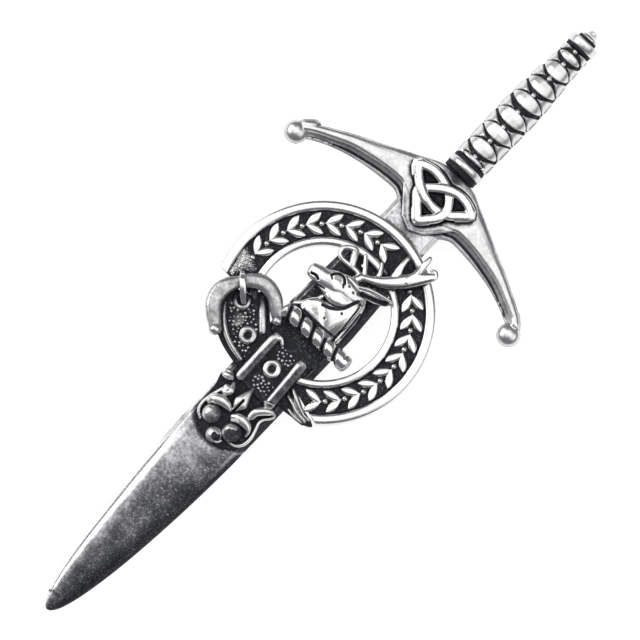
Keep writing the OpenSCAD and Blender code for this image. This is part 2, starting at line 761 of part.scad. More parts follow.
// Stag's head and neck, about the middle of the wreath: place and half width in shares of the
// crest's width, height above the blade and half height in shares of the relief
NECK = [[0.01, 0.125, 0.26, 0.265, 0.40], [0.01, 0.19, 0.32, 0.24, 0.45],
    [0.06, 0.27, 0.40, 0.20, 0.48], [0.11, 0.37, 0.46, 0.15, 0.44], [0.15, 0.48, 0.46, 0.095, 0.34],
    [0.16, 0.58, 0.42, 0.03, 0.14]];
FACE = [[-0.435, 0.487, 0.50, 0.03, 0.14], [-0.41, 0.488, 0.52, 0.055, 0.24],
    [-0.335, 0.49, 0.54, 0.083, 0.32], [-0.23, 0.51, 0.58, 0.102, 0.36],
    [-0.13, 0.545, 0.62, 0.126, 0.38], [-0.03, 0.55, 0.60, 0.112, 0.37],
    [0.07, 0.555, 0.52, 0.088, 0.31], [0.13, 0.575, 0.46, 0.04, 0.18]];
JAW = [[-0.33, 0.455, 0.42, 0.03, 0.16], [-0.20, 0.455, 0.44, 0.05, 0.26],
    [-0.08, 0.465, 0.46, 0.065, 0.30], [0.04, 0.505, 0.48, 0.07, 0.32],
    [0.11, 0.55, 0.44, 0.03, 0.18]];
BROW = [[-0.22, 0.60, 0.72, 0.014, 0.06], [-0.14, 0.645, 0.80, 0.024, 0.10],
    [-0.06, 0.645, 0.84, 0.026, 0.10], [0.03, 0.615, 0.78, 0.014, 0.06]];
EAR = [[0.05, 0.615, 0.62, 0.03, 0.12], [0.12, 0.645, 0.66, 0.052, 0.17],
    [0.22, 0.685, 0.66, 0.06, 0.17], [0.33, 0.725, 0.60, 0.048, 0.13],
    [0.41, 0.755, 0.54, 0.012, 0.06]];
THROAT = [[-0.285, 0.13, 0.26, 0.03, 0.22], [-0.24, 0.18, 0.36, 0.04, 0.28],
    [-0.18, 0.275, 0.42, 0.045, 0.28], [-0.12, 0.375, 0.44, 0.045, 0.22]];
// Root that carries the antlers on the top of the head
ANTLER_ROOT = [[0.00, 0.58, 0.56, 0.06, 0.26], [0.01, 0.66, 0.54, 0.06, 0.24],
    [0.03, 0.75, 0.50, 0.05, 0.20], [0.04, 0.79, 0.48, 0.03, 0.14]];
HEAD_STRANDS = [NECK, FACE, JAW, BROW, EAR, THROAT, ANTLER_ROOT];
EYE = [-0.115, 0.57, 0.92, 0.03];

// Antlers in the same places, their heights above the rims in shares of the antlers' relief
NEAR_BEAM = [[0.04, 0.75, 0.5, 0.04, 0.5], [0.15, 0.825, 0.55, 0.048, 0.48],
    [0.24, 0.885, 0.55, 0.048, 0.45], [0.315, 0.955, 0.52, 0.046, 0.42],
    [0.395, 1.05, 0.5, 0.044, 0.4], [0.475, 1.15, 0.45, 0.036, 0.34], [0.55, 1.26, 0.4, 0.02, 0.2]];
NEAR_FIRST_TINE = [[0.275, 0.95, 0.5, 0.036, 0.4], [0.225, 1.10, 0.45, 0.03, 0.34],
    [0.218, 1.26, 0.4, 0.016, 0.2]];
NEAR_SECOND_TINE = [[0.395, 1.06, 0.5, 0.038, 0.38], [0.38, 1.23, 0.45, 0.034, 0.34],
    [0.382, 1.40, 0.4, 0.016, 0.2]];
NEAR_BROW_TINE = [[0.125, 0.82, 0.55, 0.034, 0.4], [0.125, 0.91, 0.5, 0.032, 0.36],
    [0.095, 0.99, 0.45, 0.026, 0.3], [0.045, 1.03, 0.4, 0.014, 0.2]];
FAR_BEAM = [[0.02, 0.74, 0.4, 0.045, 0.4], [-0.04, 0.84, 0.4, 0.036, 0.36],
    [-0.125, 0.965, 0.35, 0.016, 0.2]];
FAR_LOOP = [[-0.02, 0.765, 0.4, 0.03, 0.36], [-0.15, 0.765, 0.4, 0.034, 0.36],
    [-0.29, 0.765, 0.4, 0.036, 0.36], [-0.345, 0.835, 0.4, 0.034, 0.34],
    [-0.28, 0.905, 0.4, 0.034, 0.32], [-0.185, 0.935, 0.35, 0.018, 0.2]];
FAR_TINE = [[-0.12, 0.79, 0.4, 0.032, 0.34], [-0.18, 0.865, 0.4, 0.032, 0.32],
    [-0.225, 0.92, 0.35, 0.022, 0.26]];
ANTLER_STRANDS = [NEAR_BEAM, NEAR_FIRST_TINE, NEAR_SECOND_TINE, NEAR_BROW_TINE, FAR_BEAM, FAR_LOOP,
    FAR_TINE];

module stag_head() {
    color(BRIGHT) {
        for (s = HEAD_STRANDS)
            strand(sized(s, [0, wreath_y, land_z], crest_w, stag_t), land_z, steps = 2);
        translate([EYE[0] * crest_w, wreath_y + EYE[1] * crest_w, land_z + EYE[2] * stag_t])
            sphere(r = EYE[3] * crest_w, $fn = 10);
        for (s = ANTLER_STRANDS)
            strand(
                sized(s, [0, wreath_y, rim_top + gap], crest_w, antler_t),
                rim_top + gap,
                steps = 2,
                sides = 8
            );
    }
}

module brooch_pin() {
    bar_z = stand_off - gap - bar_t;
    block_y = bar_l / 2 - block_l;
    color(STEEL) {
        translate([-bar_w / 2, -bar_l / 2, bar_z]) cube([bar_w, bar_l, bar_t]);
        for (y = [-bar_l / 2, block_y])
            translate([-block_w / 2, y, 0]) cube([block_w, block_l, bar_z + bar_t / 2]);
        translate([0, bar_l / 2 - block_l / 2, needle_h]) rotate([90, 0, 0])
            cylinder(d = needle_d, h = bar_l - block_l / 2 + needle_tip_l / 2);
        translate([0, -bar_l / 2 - needle_tip_l / 2, needle_h]) rotate([90, 0, 0])
            cylinder(d1 = needle_d, d2 = 0.2 * needle_d, h = needle_tip_l / 2);
    }
}

blade();
guard();
knot();
collar();
grip();
pommel();
circlet();
belt_tail();
belt_end();
buckle();
prong();
chape();
wreath();
stag_head();
brooch_pin();
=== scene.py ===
"""Looks of a kilt pin: a small cast sword that carries a strap-and-buckle crest badge."""

import logging
import math
from collections.abc import Callable
from dataclasses import dataclass
from enum import Enum

import bpy
import numpy as np
from mathutils import Matrix, Vector


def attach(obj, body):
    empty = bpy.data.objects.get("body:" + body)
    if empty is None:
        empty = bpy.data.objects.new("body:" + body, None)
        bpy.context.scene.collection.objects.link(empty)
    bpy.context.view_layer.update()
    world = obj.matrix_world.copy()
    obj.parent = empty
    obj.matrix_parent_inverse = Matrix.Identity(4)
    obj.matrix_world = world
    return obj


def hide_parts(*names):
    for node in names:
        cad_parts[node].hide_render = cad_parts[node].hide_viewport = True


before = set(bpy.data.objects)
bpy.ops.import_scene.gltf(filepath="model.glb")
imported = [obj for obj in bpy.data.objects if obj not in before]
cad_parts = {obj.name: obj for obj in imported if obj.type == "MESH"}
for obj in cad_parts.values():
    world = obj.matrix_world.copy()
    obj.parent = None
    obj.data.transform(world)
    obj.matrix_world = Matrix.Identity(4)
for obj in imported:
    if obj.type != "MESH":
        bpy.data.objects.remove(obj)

LOG = logging.getLogger("kilt_pin")
MM = 0.001
ROOT = "root"
TURN = 2 * math.pi
TINY = 1e-9
FAR_AWAY = 1e9
MERGE = 0.001
# Angles at which a strand's domed end is cut into rings, in degrees
DOME = (25, 48, 68, 84)

Rows = list[tuple[float, ...]] | tuple[tuple[float, ...], ...]
Darkening = Callable[[np.ndarray], np.ndarray]
Object = bpy.types.Object


class Lustre(Enum):
    """How far a piece was blackened and polished again."""

    BLADE = "blade"
    SATIN = "satin"
    POLISHED = "polished"
    ANTIQUED = "antiqued"
    BLACKENED = "black_and_shade_share"
    PLAIN = "plain"


# Curves and skins


def smooth_path(rows: Rows | np.ndarray, steps: int, closed: bool = False) -> np.ndarray:
    """Smooth curve through every row.

    Args:
        rows: Places, each with any number of columns.
        steps: Points from one row to the next.
        closed: Whether the curve returns to its first row.

    Returns:
        The points, one row each.
    """
    p = np.asarray(rows, float)
    n = len(p)
    t = np.linspace(0, 1, steps, endpoint=False)[:, None]
    out = []
    for i in range(n if closed else n - 1):
        a, b, c, d = (p[k % n] if closed else p[min(max(k, 0), n - 1)] for k in range(i - 1, i + 3))
        bend, twist = 2 * a - 5 * b + 4 * c - d, 3 * b - a - 3 * c + d
        out.append(0.5 * (2 * b + (c - a) * t + bend * t * t + twist * t * t * t))
    if not closed:
        out.append(p[-1:])
    return np.concatenate(out)


def closed_skin(rings: np.ndarray, looped: bool = False) -> tuple[np.ndarray, list[tuple[int, ...]]]:
    """Closed skin over rings of points.

    Args:
        rings: An array of rings, points and coordinates.
        looped: Whether the last ring meets the first, so that the skin has no ends.

    Returns:
        The points and the faces.
    """
    count, sides = rings.shape[:2]
    faces: list[tuple[int, ...]] = []
    for i in range(count if looped else count - 1):
        n = (i + 1) % count
        for j in range(sides):
            k = (j + 1) % sides
            faces.append((i * sides + j, i * sides + k, n * sides + k, n * sides + j))
    if not looped:
        faces += [tuple(range(sides - 1, -1, -1)), tuple(range((count - 1) * sides, count * sides))]
    return rings.reshape(-1, 3), faces


def strand_rings(rows: np.ndarray, steps: int, sides: int, square: float, closed: bool) -> np.ndarray:
    """Rings of a rounded strand, with domed ends unless it is closed.

    Args:
        rows: Place, half width and half height in millimetres.
        steps: Rings from one row to the next.
        sides: Points round each ring.
        square: 1 for an ellipse, less for a squarer section, more for a pointed one.
        closed: Whether the strand returns to its start.

    Returns:
        The rings.
    """
    least = 0.01
    c = smooth_path(rows, steps, closed)
    c[:, 3:] = np.maximum(c[:, 3:], least)
    if closed:
        along = np.roll(c, -1, axis=0)[:, :3] - np.roll(c, 1, axis=0)[:, :3]
    else:
        along = np.vstack([c[1:], c[-1:]])[:, :3] - np.vstack([c[:1], c[:-1]])[:, :3]
    along[:, 2] = 0
    along /= np.maximum(np.linalg.norm(along, axis=1), TINY)[:, None]
    if not closed:
        ends = []
        for which, sign in ((0, -1), (-1, 1)):
            swell = []
            for angle in DOME:
                row = c[which].copy()
                row[:3] += along[which] * sign * min(row[3], row[4]) * math.sin(math.radians(angle))
                row[3:] *= math.cos(math.radians(angle))
                swell.append(row)
            ends.append(swell)
        c = np.vstack([ends[0][::-1], c, ends[1]])
        along = np.vstack([[along[0]] * len(DOME), along, [along[-1]] * len(DOME)])
    side = np.stack([-along[:, 1], along[:, 0], np.zeros(len(along))], 1)
    a = np.linspace(0, TURN, sides, endpoint=False)
    ca = np.sign(np.cos(a)) * np.abs(np.cos(a)) ** square
    sa = np.sign(np.sin(a)) * np.abs(np.sin(a)) ** square
    rings = c[:, None, :3] + side[:, None, :] * (c[:, None, 3:4] * ca[None, :, None])
    rings[:, :, 2] += c[:, None, 4] * sa[None, :]
    return rings


def inside(places: np.ndarray, outline: np.ndarray) -> np.ndarray:
    """Whether each place lies inside an outline.

    Args:
        places: Places seen from above.
        outline: The outline's corners.

    Returns:
        True or false for each place.
    """
    x, y = places[:, 0], places[:, 1]
    odd = np.zeros(len(places), bool)
    for a, b in zip(outline, np.roll(outline, -1, axis=0)):
        crosses = (a[1] > y) != (b[1] > y)
        rise = b[1] - a[1] if b[1] != a[1] else TINY
        odd ^= crosses & (x < a[0] + (b[0] - a[0]) * (y - a[1]) / rise)
    return odd


def soft_step(x: np.ndarray | float, start: float, full: float) -> np.ndarray:
    """Smooth ramp from 0 at start to 1 at full. It falls where full is below start."""
    t = np.clip((x - start) / (full - start), 0, 1)
    return t * t * (3 - 2 * t)


def distance_to_path(points: np.ndarray, path: np.ndarray) -> np.ndarray:
    """Distance of points from a line, seen from above.

    Args:
        points: Places to measure.
        path: The line's points, in order.

    Returns:
        The distance of each.
    """
    best = np.full(len(points), FAR_AWAY)
    for a, b in zip(path[:-1, :2], path[1:, :2]):
        ab = b - a
        t = np.clip(((points[:, :2] - a) @ ab) / max(ab @ ab, TINY), 0, 1)
        best = np.minimum(best, np.linalg.norm(points[:, :2] - (a + t[:, None] * ab), axis=1))
    return best


# The bench


@dataclass
class Piece:
    """A finished mesh, the nodes that it stands for, its finish and its darkening, blackening and painted
    shade alike.
    """

    obj: Object
    nodes: tuple[str, ...]
    lustre: Lustre
    darkening: Darkening | None


class Bench:
    """Where pieces are modelled in millimetres and set into the frame."""

    def __init__(self) -> None:
        """Starts with nothing on the bench."""
        self.finished: list[Piece] = []

    def clear(self) -> None:
        """Leaves edit mode and deselects everything."""
        if bpy.context.mode != "OBJECT":
            bpy.ops.object.mode_set(mode="OBJECT")
        bpy.ops.object.select_all(action="DESELECT")

    def pick(self, *objects: Object) -> None:
        """Selects these objects alone, the first one active."""
        self.clear()
        for o in objects:
            o.select_set(True)
        bpy.context.view_layer.objects.active = objects[0]

    def edit(self, obj: Object) -> None:
        """Opens an object in edit mode with all of it selected."""
        self.pick(obj)
        bpy.ops.object.mode_set(mode="EDIT")
        bpy.ops.mesh.select_all(action="SELECT")

    def lay(self, name: str, verts: list[tuple[float, ...]], edges: list, faces: list) -> Object:
        """Makes an object and leaves its faces as they are given.

        Args:
            name: The object's name.
            verts: Points in millimetres.
            edges: Edges by point number.
            faces: Faces by point number.

        Returns:
            The object.
        """
        mesh = bpy.data.meshes.new(name)
        mesh.from_pydata(verts, edges, faces)
        return self.link(name, mesh)

    def link(self, name: str, mesh: bpy.types.Mesh) -> Object:
        """Makes an object of a mesh."""
        obj = bpy.data.objects.new(name, mesh)
        bpy.context.scene.collection.objects.link(obj)
        return obj

    def skin(self, verts: np.ndarray, faces: list[tuple[int, ...]], name: str) -> Object:
        """Makes an object from points and faces.

        Args:
            verts: Points in millimetres.
            faces: Faces by point number.
            name: The object's name.

        Returns:
            The object, with its faces turned outwards.
        """
        obj = self.lay(name, [tuple(v) for v in verts], [], faces)
        self.face_outwards(obj)
        return obj

    def face_outwards(self, obj: Object) -> None:
        """Recalculates the normals of a closed shell."""
        self.edit(obj)
        bpy.ops.mesh.normals_make_consistent(inside=False)
        bpy.ops.object.mode_set(mode="OBJECT")

    def strand(
        self, rows: np.ndarray, steps: int = 6, sides: int = 20, square: float = 1.0, closed: bool = False
    ) -> Object:
        """Makes one rounded strand. Args as for strand_rings. Returns the object."""
        return self.skin(*closed_skin(strand_rings(rows, steps, sides, square, closed), closed), "strand")

    def place_primitive(self, x: float, y: float, z: float, squash: float) -> Object:
        """Flattens the primitive just added, moves it to its place and returns it."""
        obj = bpy.context.view_layer.objects.active
        self.set_points(obj, self.points(obj) * [1, 1, squash] + [x, y, z])
        return obj

    def ball(self, x: float, y: float, z: float, radius: float, squash: float = 1.0) -> Object:
        """Makes a ball.

        Args:
            x: Place across.
            y: Place along.
            z: Height of its middle.
            radius: Its radius.
            squash: Its height as a share of its width.

        Returns:
            The ball.
        """
        self.clear()
        bpy.ops.mesh.primitive_uv_sphere_add(segments=32, ring_count=20, radius=radius)
        return self.place_primitive(x, y, z, squash)

    def eyelet(self, x: float, y: float, low: float, high: float, radius: float, hole: float) -> Object:
        """Makes a rounded ring that stands between two heights.

        Args:
            x: Place across.
            y: Place along.
            low: Height of its underside.
            high: Height of its top.
            radius: Its outer radius.
            hole: Its inner radius.

        Returns:
            The ring.
        """
        self.clear()
        thick = (radius - hole) / 2
        bpy.ops.mesh.primitive_torus_add(
            major_segments=48, minor_segments=20, major_radius=hole + thick, minor_radius=thick
        )
        return self.place_primitive(x, y, (low + high) / 2, (high - low) / 2 / thick)

    def grains(
        self, field: np.ndarray, level: float, radius: float, spacing: float, seed: int, keep_off: Rows = ()
    ) -> Object:
        """Scatters small grains over a field.

        Args:
            field: The field's corners, seen from above.
            level: Height of their middles.
            radius: Their mean radius.
            spacing: The least distance between two.
            seed: Start of the random draws.
            keep_off: Places and distances that they keep clear of.

        Returns:
            One object that holds them all.
        """
        tries, sides, smallest, largest = 2500, 10, 0.65, 1.25
        rng = np.random.default_rng(seed)
        places = rng.uniform(field.min(axis=0), field.max(axis=0), (tries, 2))
        places = places[inside(places, field)]
        for x, y, clear in keep_off:
            places = places[np.hypot(places[:, 0] - x, places[:, 1] - y) > clear]
        kept: list[np.ndarray] = []
        for place in places:
            if all(np.hypot(*(place - other)) > spacing for other in kept):
                kept.append(place)
        around = np.linspace(0, TURN, sides, endpoint=False)
        lift = np.linspace(-1.4, 1.4, 7)[:, None]
        verts, faces = [], []
        for x, y in kept:
            r = radius * rng.uniform(smallest, largest)
            out = r * np.cos(lift)
            rings = np.stack([
                x + out * np.cos(around), y + out * np.sin(around), level + r * np.sin(lift) + 0 * around,
            ], -1)
            points, quads = closed_skin(rings)
            faces += [tuple(i + len(verts) for i in face) for face in quads]
            verts += list(points)
        return self.skin(np.array(verts), faces, "grains")

    def slab(self, outline: np.ndarray, low: float, high: float, bevel: float = 0.0) -> Object:
        """Makes a plate from an outline.

        Args:
            outline: The outline's places, seen from above.
            low: Height of the underside.
            high: Height of the top.
            bevel: Width of the bevel round its edges.

        Returns:
            The plate.
        """
        verts = np.array([(x, y, low) for x, y in outline[:, :2]])
        obj = self.skin(verts, [tuple(range(len(verts)))], "slab")
        self.edit(obj)
        bpy.ops.mesh.extrude_region_move(TRANSFORM_OT_translate={"value": (0, 0, high - low)})
        self.face_outwards(obj)
        if bevel:
            self.modify(obj, "BEVEL", width=bevel, segments=3, limit_method="ANGLE", angle_limit=0.7)
        return obj

    def modify(self, obj: Object, kind: str, **settings: object) -> None:
        """Adds a modifier with these settings and applies it."""
        self.pick(obj)
        bpy.ops.object.modifier_add(type=kind)
        modifier = obj.modifiers[-1]
        for key, value in settings.items():
            setattr(modifier, key, value)
        bpy.ops.object.modifier_apply(modifier=modifier.name)

    def join(self, parts: list[Object]) -> Object:
        """Joins objects into one and returns it."""
        self.pick(*parts)
        if len(parts) > 1:
            bpy.ops.object.join()
        return bpy.context.view_layer.objects.active

    def fuse(self, parts: list[Object], voxel: float, rounds: int = 3) -> Object:
        """Casts closed parts as one skin with soft inner corners.

        Args:
            parts: Closed objects that meet.
            voxel: Size of the skin's squares.
            rounds: How often the skin is smoothed.

        Returns:
            The one object.
        """
        obj = self.join(parts)
        self.modify(obj, "REMESH", mode="VOXEL", voxel_size=voxel, adaptivity=0.0)
        self.modify(obj, "SMOOTH", factor=0.5, iterations=rounds)
        return obj

    def copy_of(self, node: str) -> Object:
        """Copies a CAD node on to the bench, in millimetres and with its points merged."""
        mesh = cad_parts[node].data.copy()
        mesh.transform(Matrix.Scale(1 / MM, 4))
        mesh.materials.clear()
        obj = self.link(node + "_copy", mesh)
        self.edit(obj)
        bpy.ops.mesh.remove_doubles(threshold=MERGE)
        bpy.ops.object.mode_set(mode="OBJECT")
        return obj

    def points(self, obj: Object, what: str = "co") -> np.ndarray:
        """Every point of a mesh, or the normal there, one row each."""
        flat = np.empty(len(obj.data.vertices) * 3, np.float32)
        obj.data.vertices.foreach_get(what, flat)
        return flat.reshape(-1, 3).astype(float)

    def set_points(self, obj: Object, points: np.ndarray) -> None:
        """Moves every point of a mesh."""
        obj.data.vertices.foreach_set("co", points.astype(np.float32).ravel())
        obj.data.update()

    def carve(self, obj: Object, path: np.ndarray, width: float, depth: float, above: float) -> None:
        """Presses a groove into what faces up.

        Args:
            obj: The mesh.
            path: The groove's places, seen from above.
            width: Half the groove's width.
            depth: Its depth at the middle.
            above: Only points higher than this move.
        """
        co, no = self.points(obj), self.points(obj, "normal")
        line = smooth_path(path[:, :2], 4) if len(path) > 2 else path
        fall = np.clip(1 - (distance_to_path(co, line) / width) ** 2, 0, 1) ** 1.5
        up = soft_step(no[:, 2], 0.05, 0.5) * (co[:, 2] > above)
        co[:, 2] -= depth * fall * up
        self.set_points(obj, co)

    def set_in_frame(
        self, obj: Object, name: str, nodes: tuple[str, ...], lustre: Lustre, darkening: Darkening | None = None
    ) -> None:
        """Takes a finished mesh off the bench, to be dressed and scaled to metres later.

        Args:
            obj: The mesh, in millimetres.
            name: The piece's name.
            nodes: The CAD nodes that it stands for.
            lustre: Its finish.
            darkening: How black its points are made besides what their depth gives, blackening and painted
                shade alike.
        """
        obj.name = name
        obj.data.name = name
        self.pick(obj)
        bpy.ops.object.shade_smooth()
        self.finished.append(Piece(obj, nodes, lustre, darkening))
        LOG.info("%s: %d faces", name, len(obj.data.polygons))


# Patina and painted shade


@dataclass
class PatinaAndShade:
    """Works out how deep each point of the finished pieces lies, and how sharp it is.

    The two results are kept on every mesh: the darkening, 0 on the heights and 1 in the blackened
    hollows, with painted shade on steep sides and each piece's own darkening added to it, and wear,
    above 0 on ridges and below 0 in grooves.
    """

    cell: float = 0.1
    half_width: float = 22.0
    half_length: float = 52.0
    # Level of what lies round the pin, and how near the grid's rim a point may be read
    ground: float = 3.8
    rim: float = 0.001
    most_samples: int = 60
    # How far round a point its depth is judged, and the depth that is fully black, near and far
    near: tuple[float, float] = (0.45, 0.5)
    far: tuple[float, float] = (1.3, 0.9)
    # How far a face turns up: where the depth starts to count, and where the painted shade of sides starts
    turned_up: tuple[float, float] = (-0.3, 0.1)
    turned_aside: tuple[float, float] = (0.6, 0.15)
    # How dark the painted shade on steep sides is
    side_shade_strength: float = 0.5
    # How far round a point its sharpness is judged, and the height that counts as a full ridge
    ridge_reach: float = 0.22
    ridge_height: float = 0.1
    shortest_edge: float = 0.02
    rounds: tuple[int, int] = (2, 24)
    pull: float = 0.7

    def face_samples(self, co: np.ndarray, tris: np.ndarray) -> np.ndarray:
        """Places spread over triangles, about a cell apart.

        Args:
            co: Points.
            tris: Triangles by point number.

        Returns:
            The places.
        """
        t = co[tris]
        reach = np.max([np.linalg.norm(t[:, i] - t[:, (i + 1) % 3], axis=1) for i in range(3)], axis=0)
        count = np.clip(np.ceil(reach / self.cell).astype(int), 1, self.most_samples)
        out = [co]
        for n in np.unique(count[count > 1]):
            i, j = np.meshgrid(np.arange(n + 1), np.arange(n + 1), indexing="ij")
            keep = i + j <= n
            u, v = i[keep] / n, j[keep] / n
            shares = np.stack([1 - u - v, u, v])
            spread = sum(t[count == n][:, None, k] * shares[k][None, :, None] for k in range(3))
            out.append(spread.reshape(-1, 3))
        return np.concatenate(out)

    def blur(self, grid: np.ndarray, radius: float) -> np.ndarray:
        """Gaussian blur of a grid. Radius is in millimetres."""
        nx, ny = grid.shape
        fx = np.fft.fftfreq(nx)[:, None]
        fy = np.fft.rfftfreq(ny)[None, :]
        k = np.exp(-2 * (math.pi * radius / self.cell) ** 2 * (fx**2 + fy**2))
        return np.fft.irfft2(np.fft.rfft2(grid) * k, s=grid.shape)

    def triangles(self, mesh: bpy.types.Mesh) -> np.ndarray:
        """Triangles of a mesh by point number."""
        mesh.calc_loop_triangles()
        out = np.empty(len(mesh.loop_triangles) * 3, np.int32)
        mesh.loop_triangles.foreach_get("vertices", out)
        return out.reshape(-1, 3)

    def apply(self, bench: Bench) -> None:
        """Writes both attributes on every finished piece."""
        half = np.array([self.half_width, self.half_length])
        top = np.full((2 * half / self.cell).astype(int), self.ground)
        last = np.array(top.shape) - 1
        for piece in bench.finished:
            s = self.face_samples(bench.points(piece.obj), self.triangles(piece.obj.data))
            ix, iy = np.clip(((s[:, :2] + half) / self.cell).astype(int), 0, last).T
            np.maximum.at(top, (ix, iy), s[:, 2])
        levels = [(self.blur(top, reach), full) for reach, full in (self.near, self.far)]
        for piece in bench.finished:
            co, no = bench.points(piece.obj), bench.points(piece.obj, "normal")
            at = np.clip((co[:, :2] + half) / self.cell - 0.5, 0, last - self.rim)
            (ix, iy), (tx, ty) = at.astype(int).T, (at - at.astype(int)).T
            deep = np.maximum.reduce([
                ((g[ix, iy] * (1 - tx) + g[ix + 1, iy] * tx) * (1 - ty)
                 + (g[ix, iy + 1] * (1 - tx) + g[ix + 1, iy + 1] * tx) * ty - co[:, 2]) / full
                for g, full in levels
            ])
            deep *= soft_step(no[:, 2], *self.turned_up)
            # Painted shade that darkens steep sides
            side_shade = self.side_shade_strength * soft_step(no[:, 2], *self.turned_aside)
            recess_and_shade = np.maximum(np.clip(deep, 0, 1), side_shade)
            if piece.darkening:
                recess_and_shade = np.maximum(recess_and_shade, piece.darkening(co))
            self.store(piece.obj, "recess_and_shade", recess_and_shade)
            self.store(piece.obj, "wear", self.ridge(piece.obj, co, no))

    def ridge(self, obj: Object, co: np.ndarray, no: np.ndarray) -> np.ndarray:
        """How far each point stands out from those round it, as a share of a full ridge."""
        edges = np.empty(len(obj.data.edges) * 2, np.int32)
        obj.data.edges.foreach_get("vertices", edges)
        a, b = edges.reshape(-1, 2).T
        n = len(co)
        degree = np.maximum(np.bincount(a, minlength=n) + np.bincount(b, minlength=n), 1)
        length = max(np.linalg.norm(co[a] - co[b], axis=1).mean(), self.shortest_edge)
        flat = co.copy()
        for _ in range(int(np.clip((self.ridge_reach / length) ** 2, *self.rounds))):
            around = [
                np.bincount(a, flat[b, k], minlength=n) + np.bincount(b, flat[a, k], minlength=n)
                for k in range(3)
            ]
            flat = np.stack(around, 1) / degree[:, None] * self.pull + flat * (1 - self.pull)
        return np.clip(((co - flat) * no).sum(1) / self.ridge_height, -1, 1)

    def store(self, obj: Object, name: str, values: np.ndarray) -> None:
        """Keeps one number for each point of a mesh."""
        layer = obj.data.attributes.new(name, "FLOAT", "POINT")
        layer.data.foreach_set("value", values.astype(np.float32))


# Finishes


class Tone:
    """A shader socket that takes part in sums."""

    def __init__(self, palette: "Palette", socket: bpy.types.NodeSocket) -> None:
        """Wraps a socket of the palette's tree."""
        self.palette = palette
        self.socket = socket

    def __add__(self, other: "Tone | float") -> "Tone":
        """Adds."""
        return self.palette.sum("ADD", self, other)

    def __mul__(self, other: "Tone | float") -> "Tone":
        """Multiplies."""
        return self.palette.sum("MULTIPLY", self, other)

    def __sub__(self, other: "Tone | float") -> "Tone":
        """Subtracts."""
        return self.palette.sum("SUBTRACT", self, other)

    def __rsub__(self, other: float) -> "Tone":
        """Subtracts from a number."""
        return self.palette.sum("SUBTRACT", other, self)

    __radd__ = __add__
    __rmul__ = __mul__

    def clipped(self, low: float, high: float) -> "Tone":
        """Ramp from 0 at low to 1 at high, smooth at both ends."""
        values = {"Value": self, "From Min": low, "From Max": high, "To Min": 0.0, "To Max": 1.0}
        made = self.palette.node("ShaderNodeMapRange", {"interpolation_type": "SMOOTHSTEP"}, values)
        return Tone(self.palette, made.outputs["Result"])


class Palette:
    """Makes the nodes of one material."""

    def __init__(self, name: str) -> None:
        """Starts a material with an empty tree."""
        self.material = bpy.data.materials.new(name)
        self.material.use_nodes = True
        self.tree = self.material.node_tree
        self.tree.nodes.clear()

    def node(
        self, kind: str, settings: dict[str, object], values: dict[str | int, object]
    ) -> bpy.types.Node:
        """Makes one node.

        Args:
            kind: The node's type.
            settings: Its own settings, such as an operation.
            values: Values or links of its sockets, by name or number.

        Returns:
            The node.
        """
        made = self.tree.nodes.new(kind)
        for key, value in settings.items():
            setattr(made, key, value)
        for key, value in values.items():
            link = value.socket if isinstance(value, Tone) else value
            if isinstance(link, bpy.types.NodeSocket):
                self.tree.links.new(link, made.inputs[key])
            else:
                made.inputs[key].default_value = value
        return made

    def sum(self, operation: str, a: "Tone | float", b: "Tone | float") -> Tone:
        """One Math node on two values."""
        return Tone(self, self.node("ShaderNodeMath", {"operation": operation}, {0: a, 1: b}).outputs[0])

    def kept(self, name: str) -> Tone:
        """A number kept on the mesh."""
        return Tone(self, self.node("ShaderNodeAttribute", {"attribute_name": name}, {}).outputs["Fac"])

    def noise(self, scale: float, detail: float, stretch: tuple[float, float, float] = (1, 1, 1)) -> Tone:
        """Noise on Object coordinates with its period about 1/scale metres."""
        at = self.node("ShaderNodeTexCoord", {}, {}).outputs["Object"]
        place = self.node("ShaderNodeMapping", {}, {"Vector": at, "Scale": stretch}).outputs["Vector"]
        values = {"Vector": place, "Scale": scale, "Detail": detail, "Roughness": 0.55}
        return Tone(self, self.node("ShaderNodeTexNoise", {}, values).outputs[0])

    def blend(self, amount: Tone, a: object, b: object) -> bpy.types.NodeSocket:
        """Mixes two colours."""
        return self.node("ShaderNodeMix", {"data_type": "RGBA"}, {0: amount, 6: a, 7: b}).outputs[2]

    def surface(self, values: dict[str | int, object]) -> bpy.types.Material:
        """Ends the tree with a shader that has these values and returns the material."""
        shader = self.node("ShaderNodeBsdfPrincipled", {}, values)
        self.node("ShaderNodeOutputMaterial", {}, {"Surface": shader.outputs["BSDF"]})
        return self.material


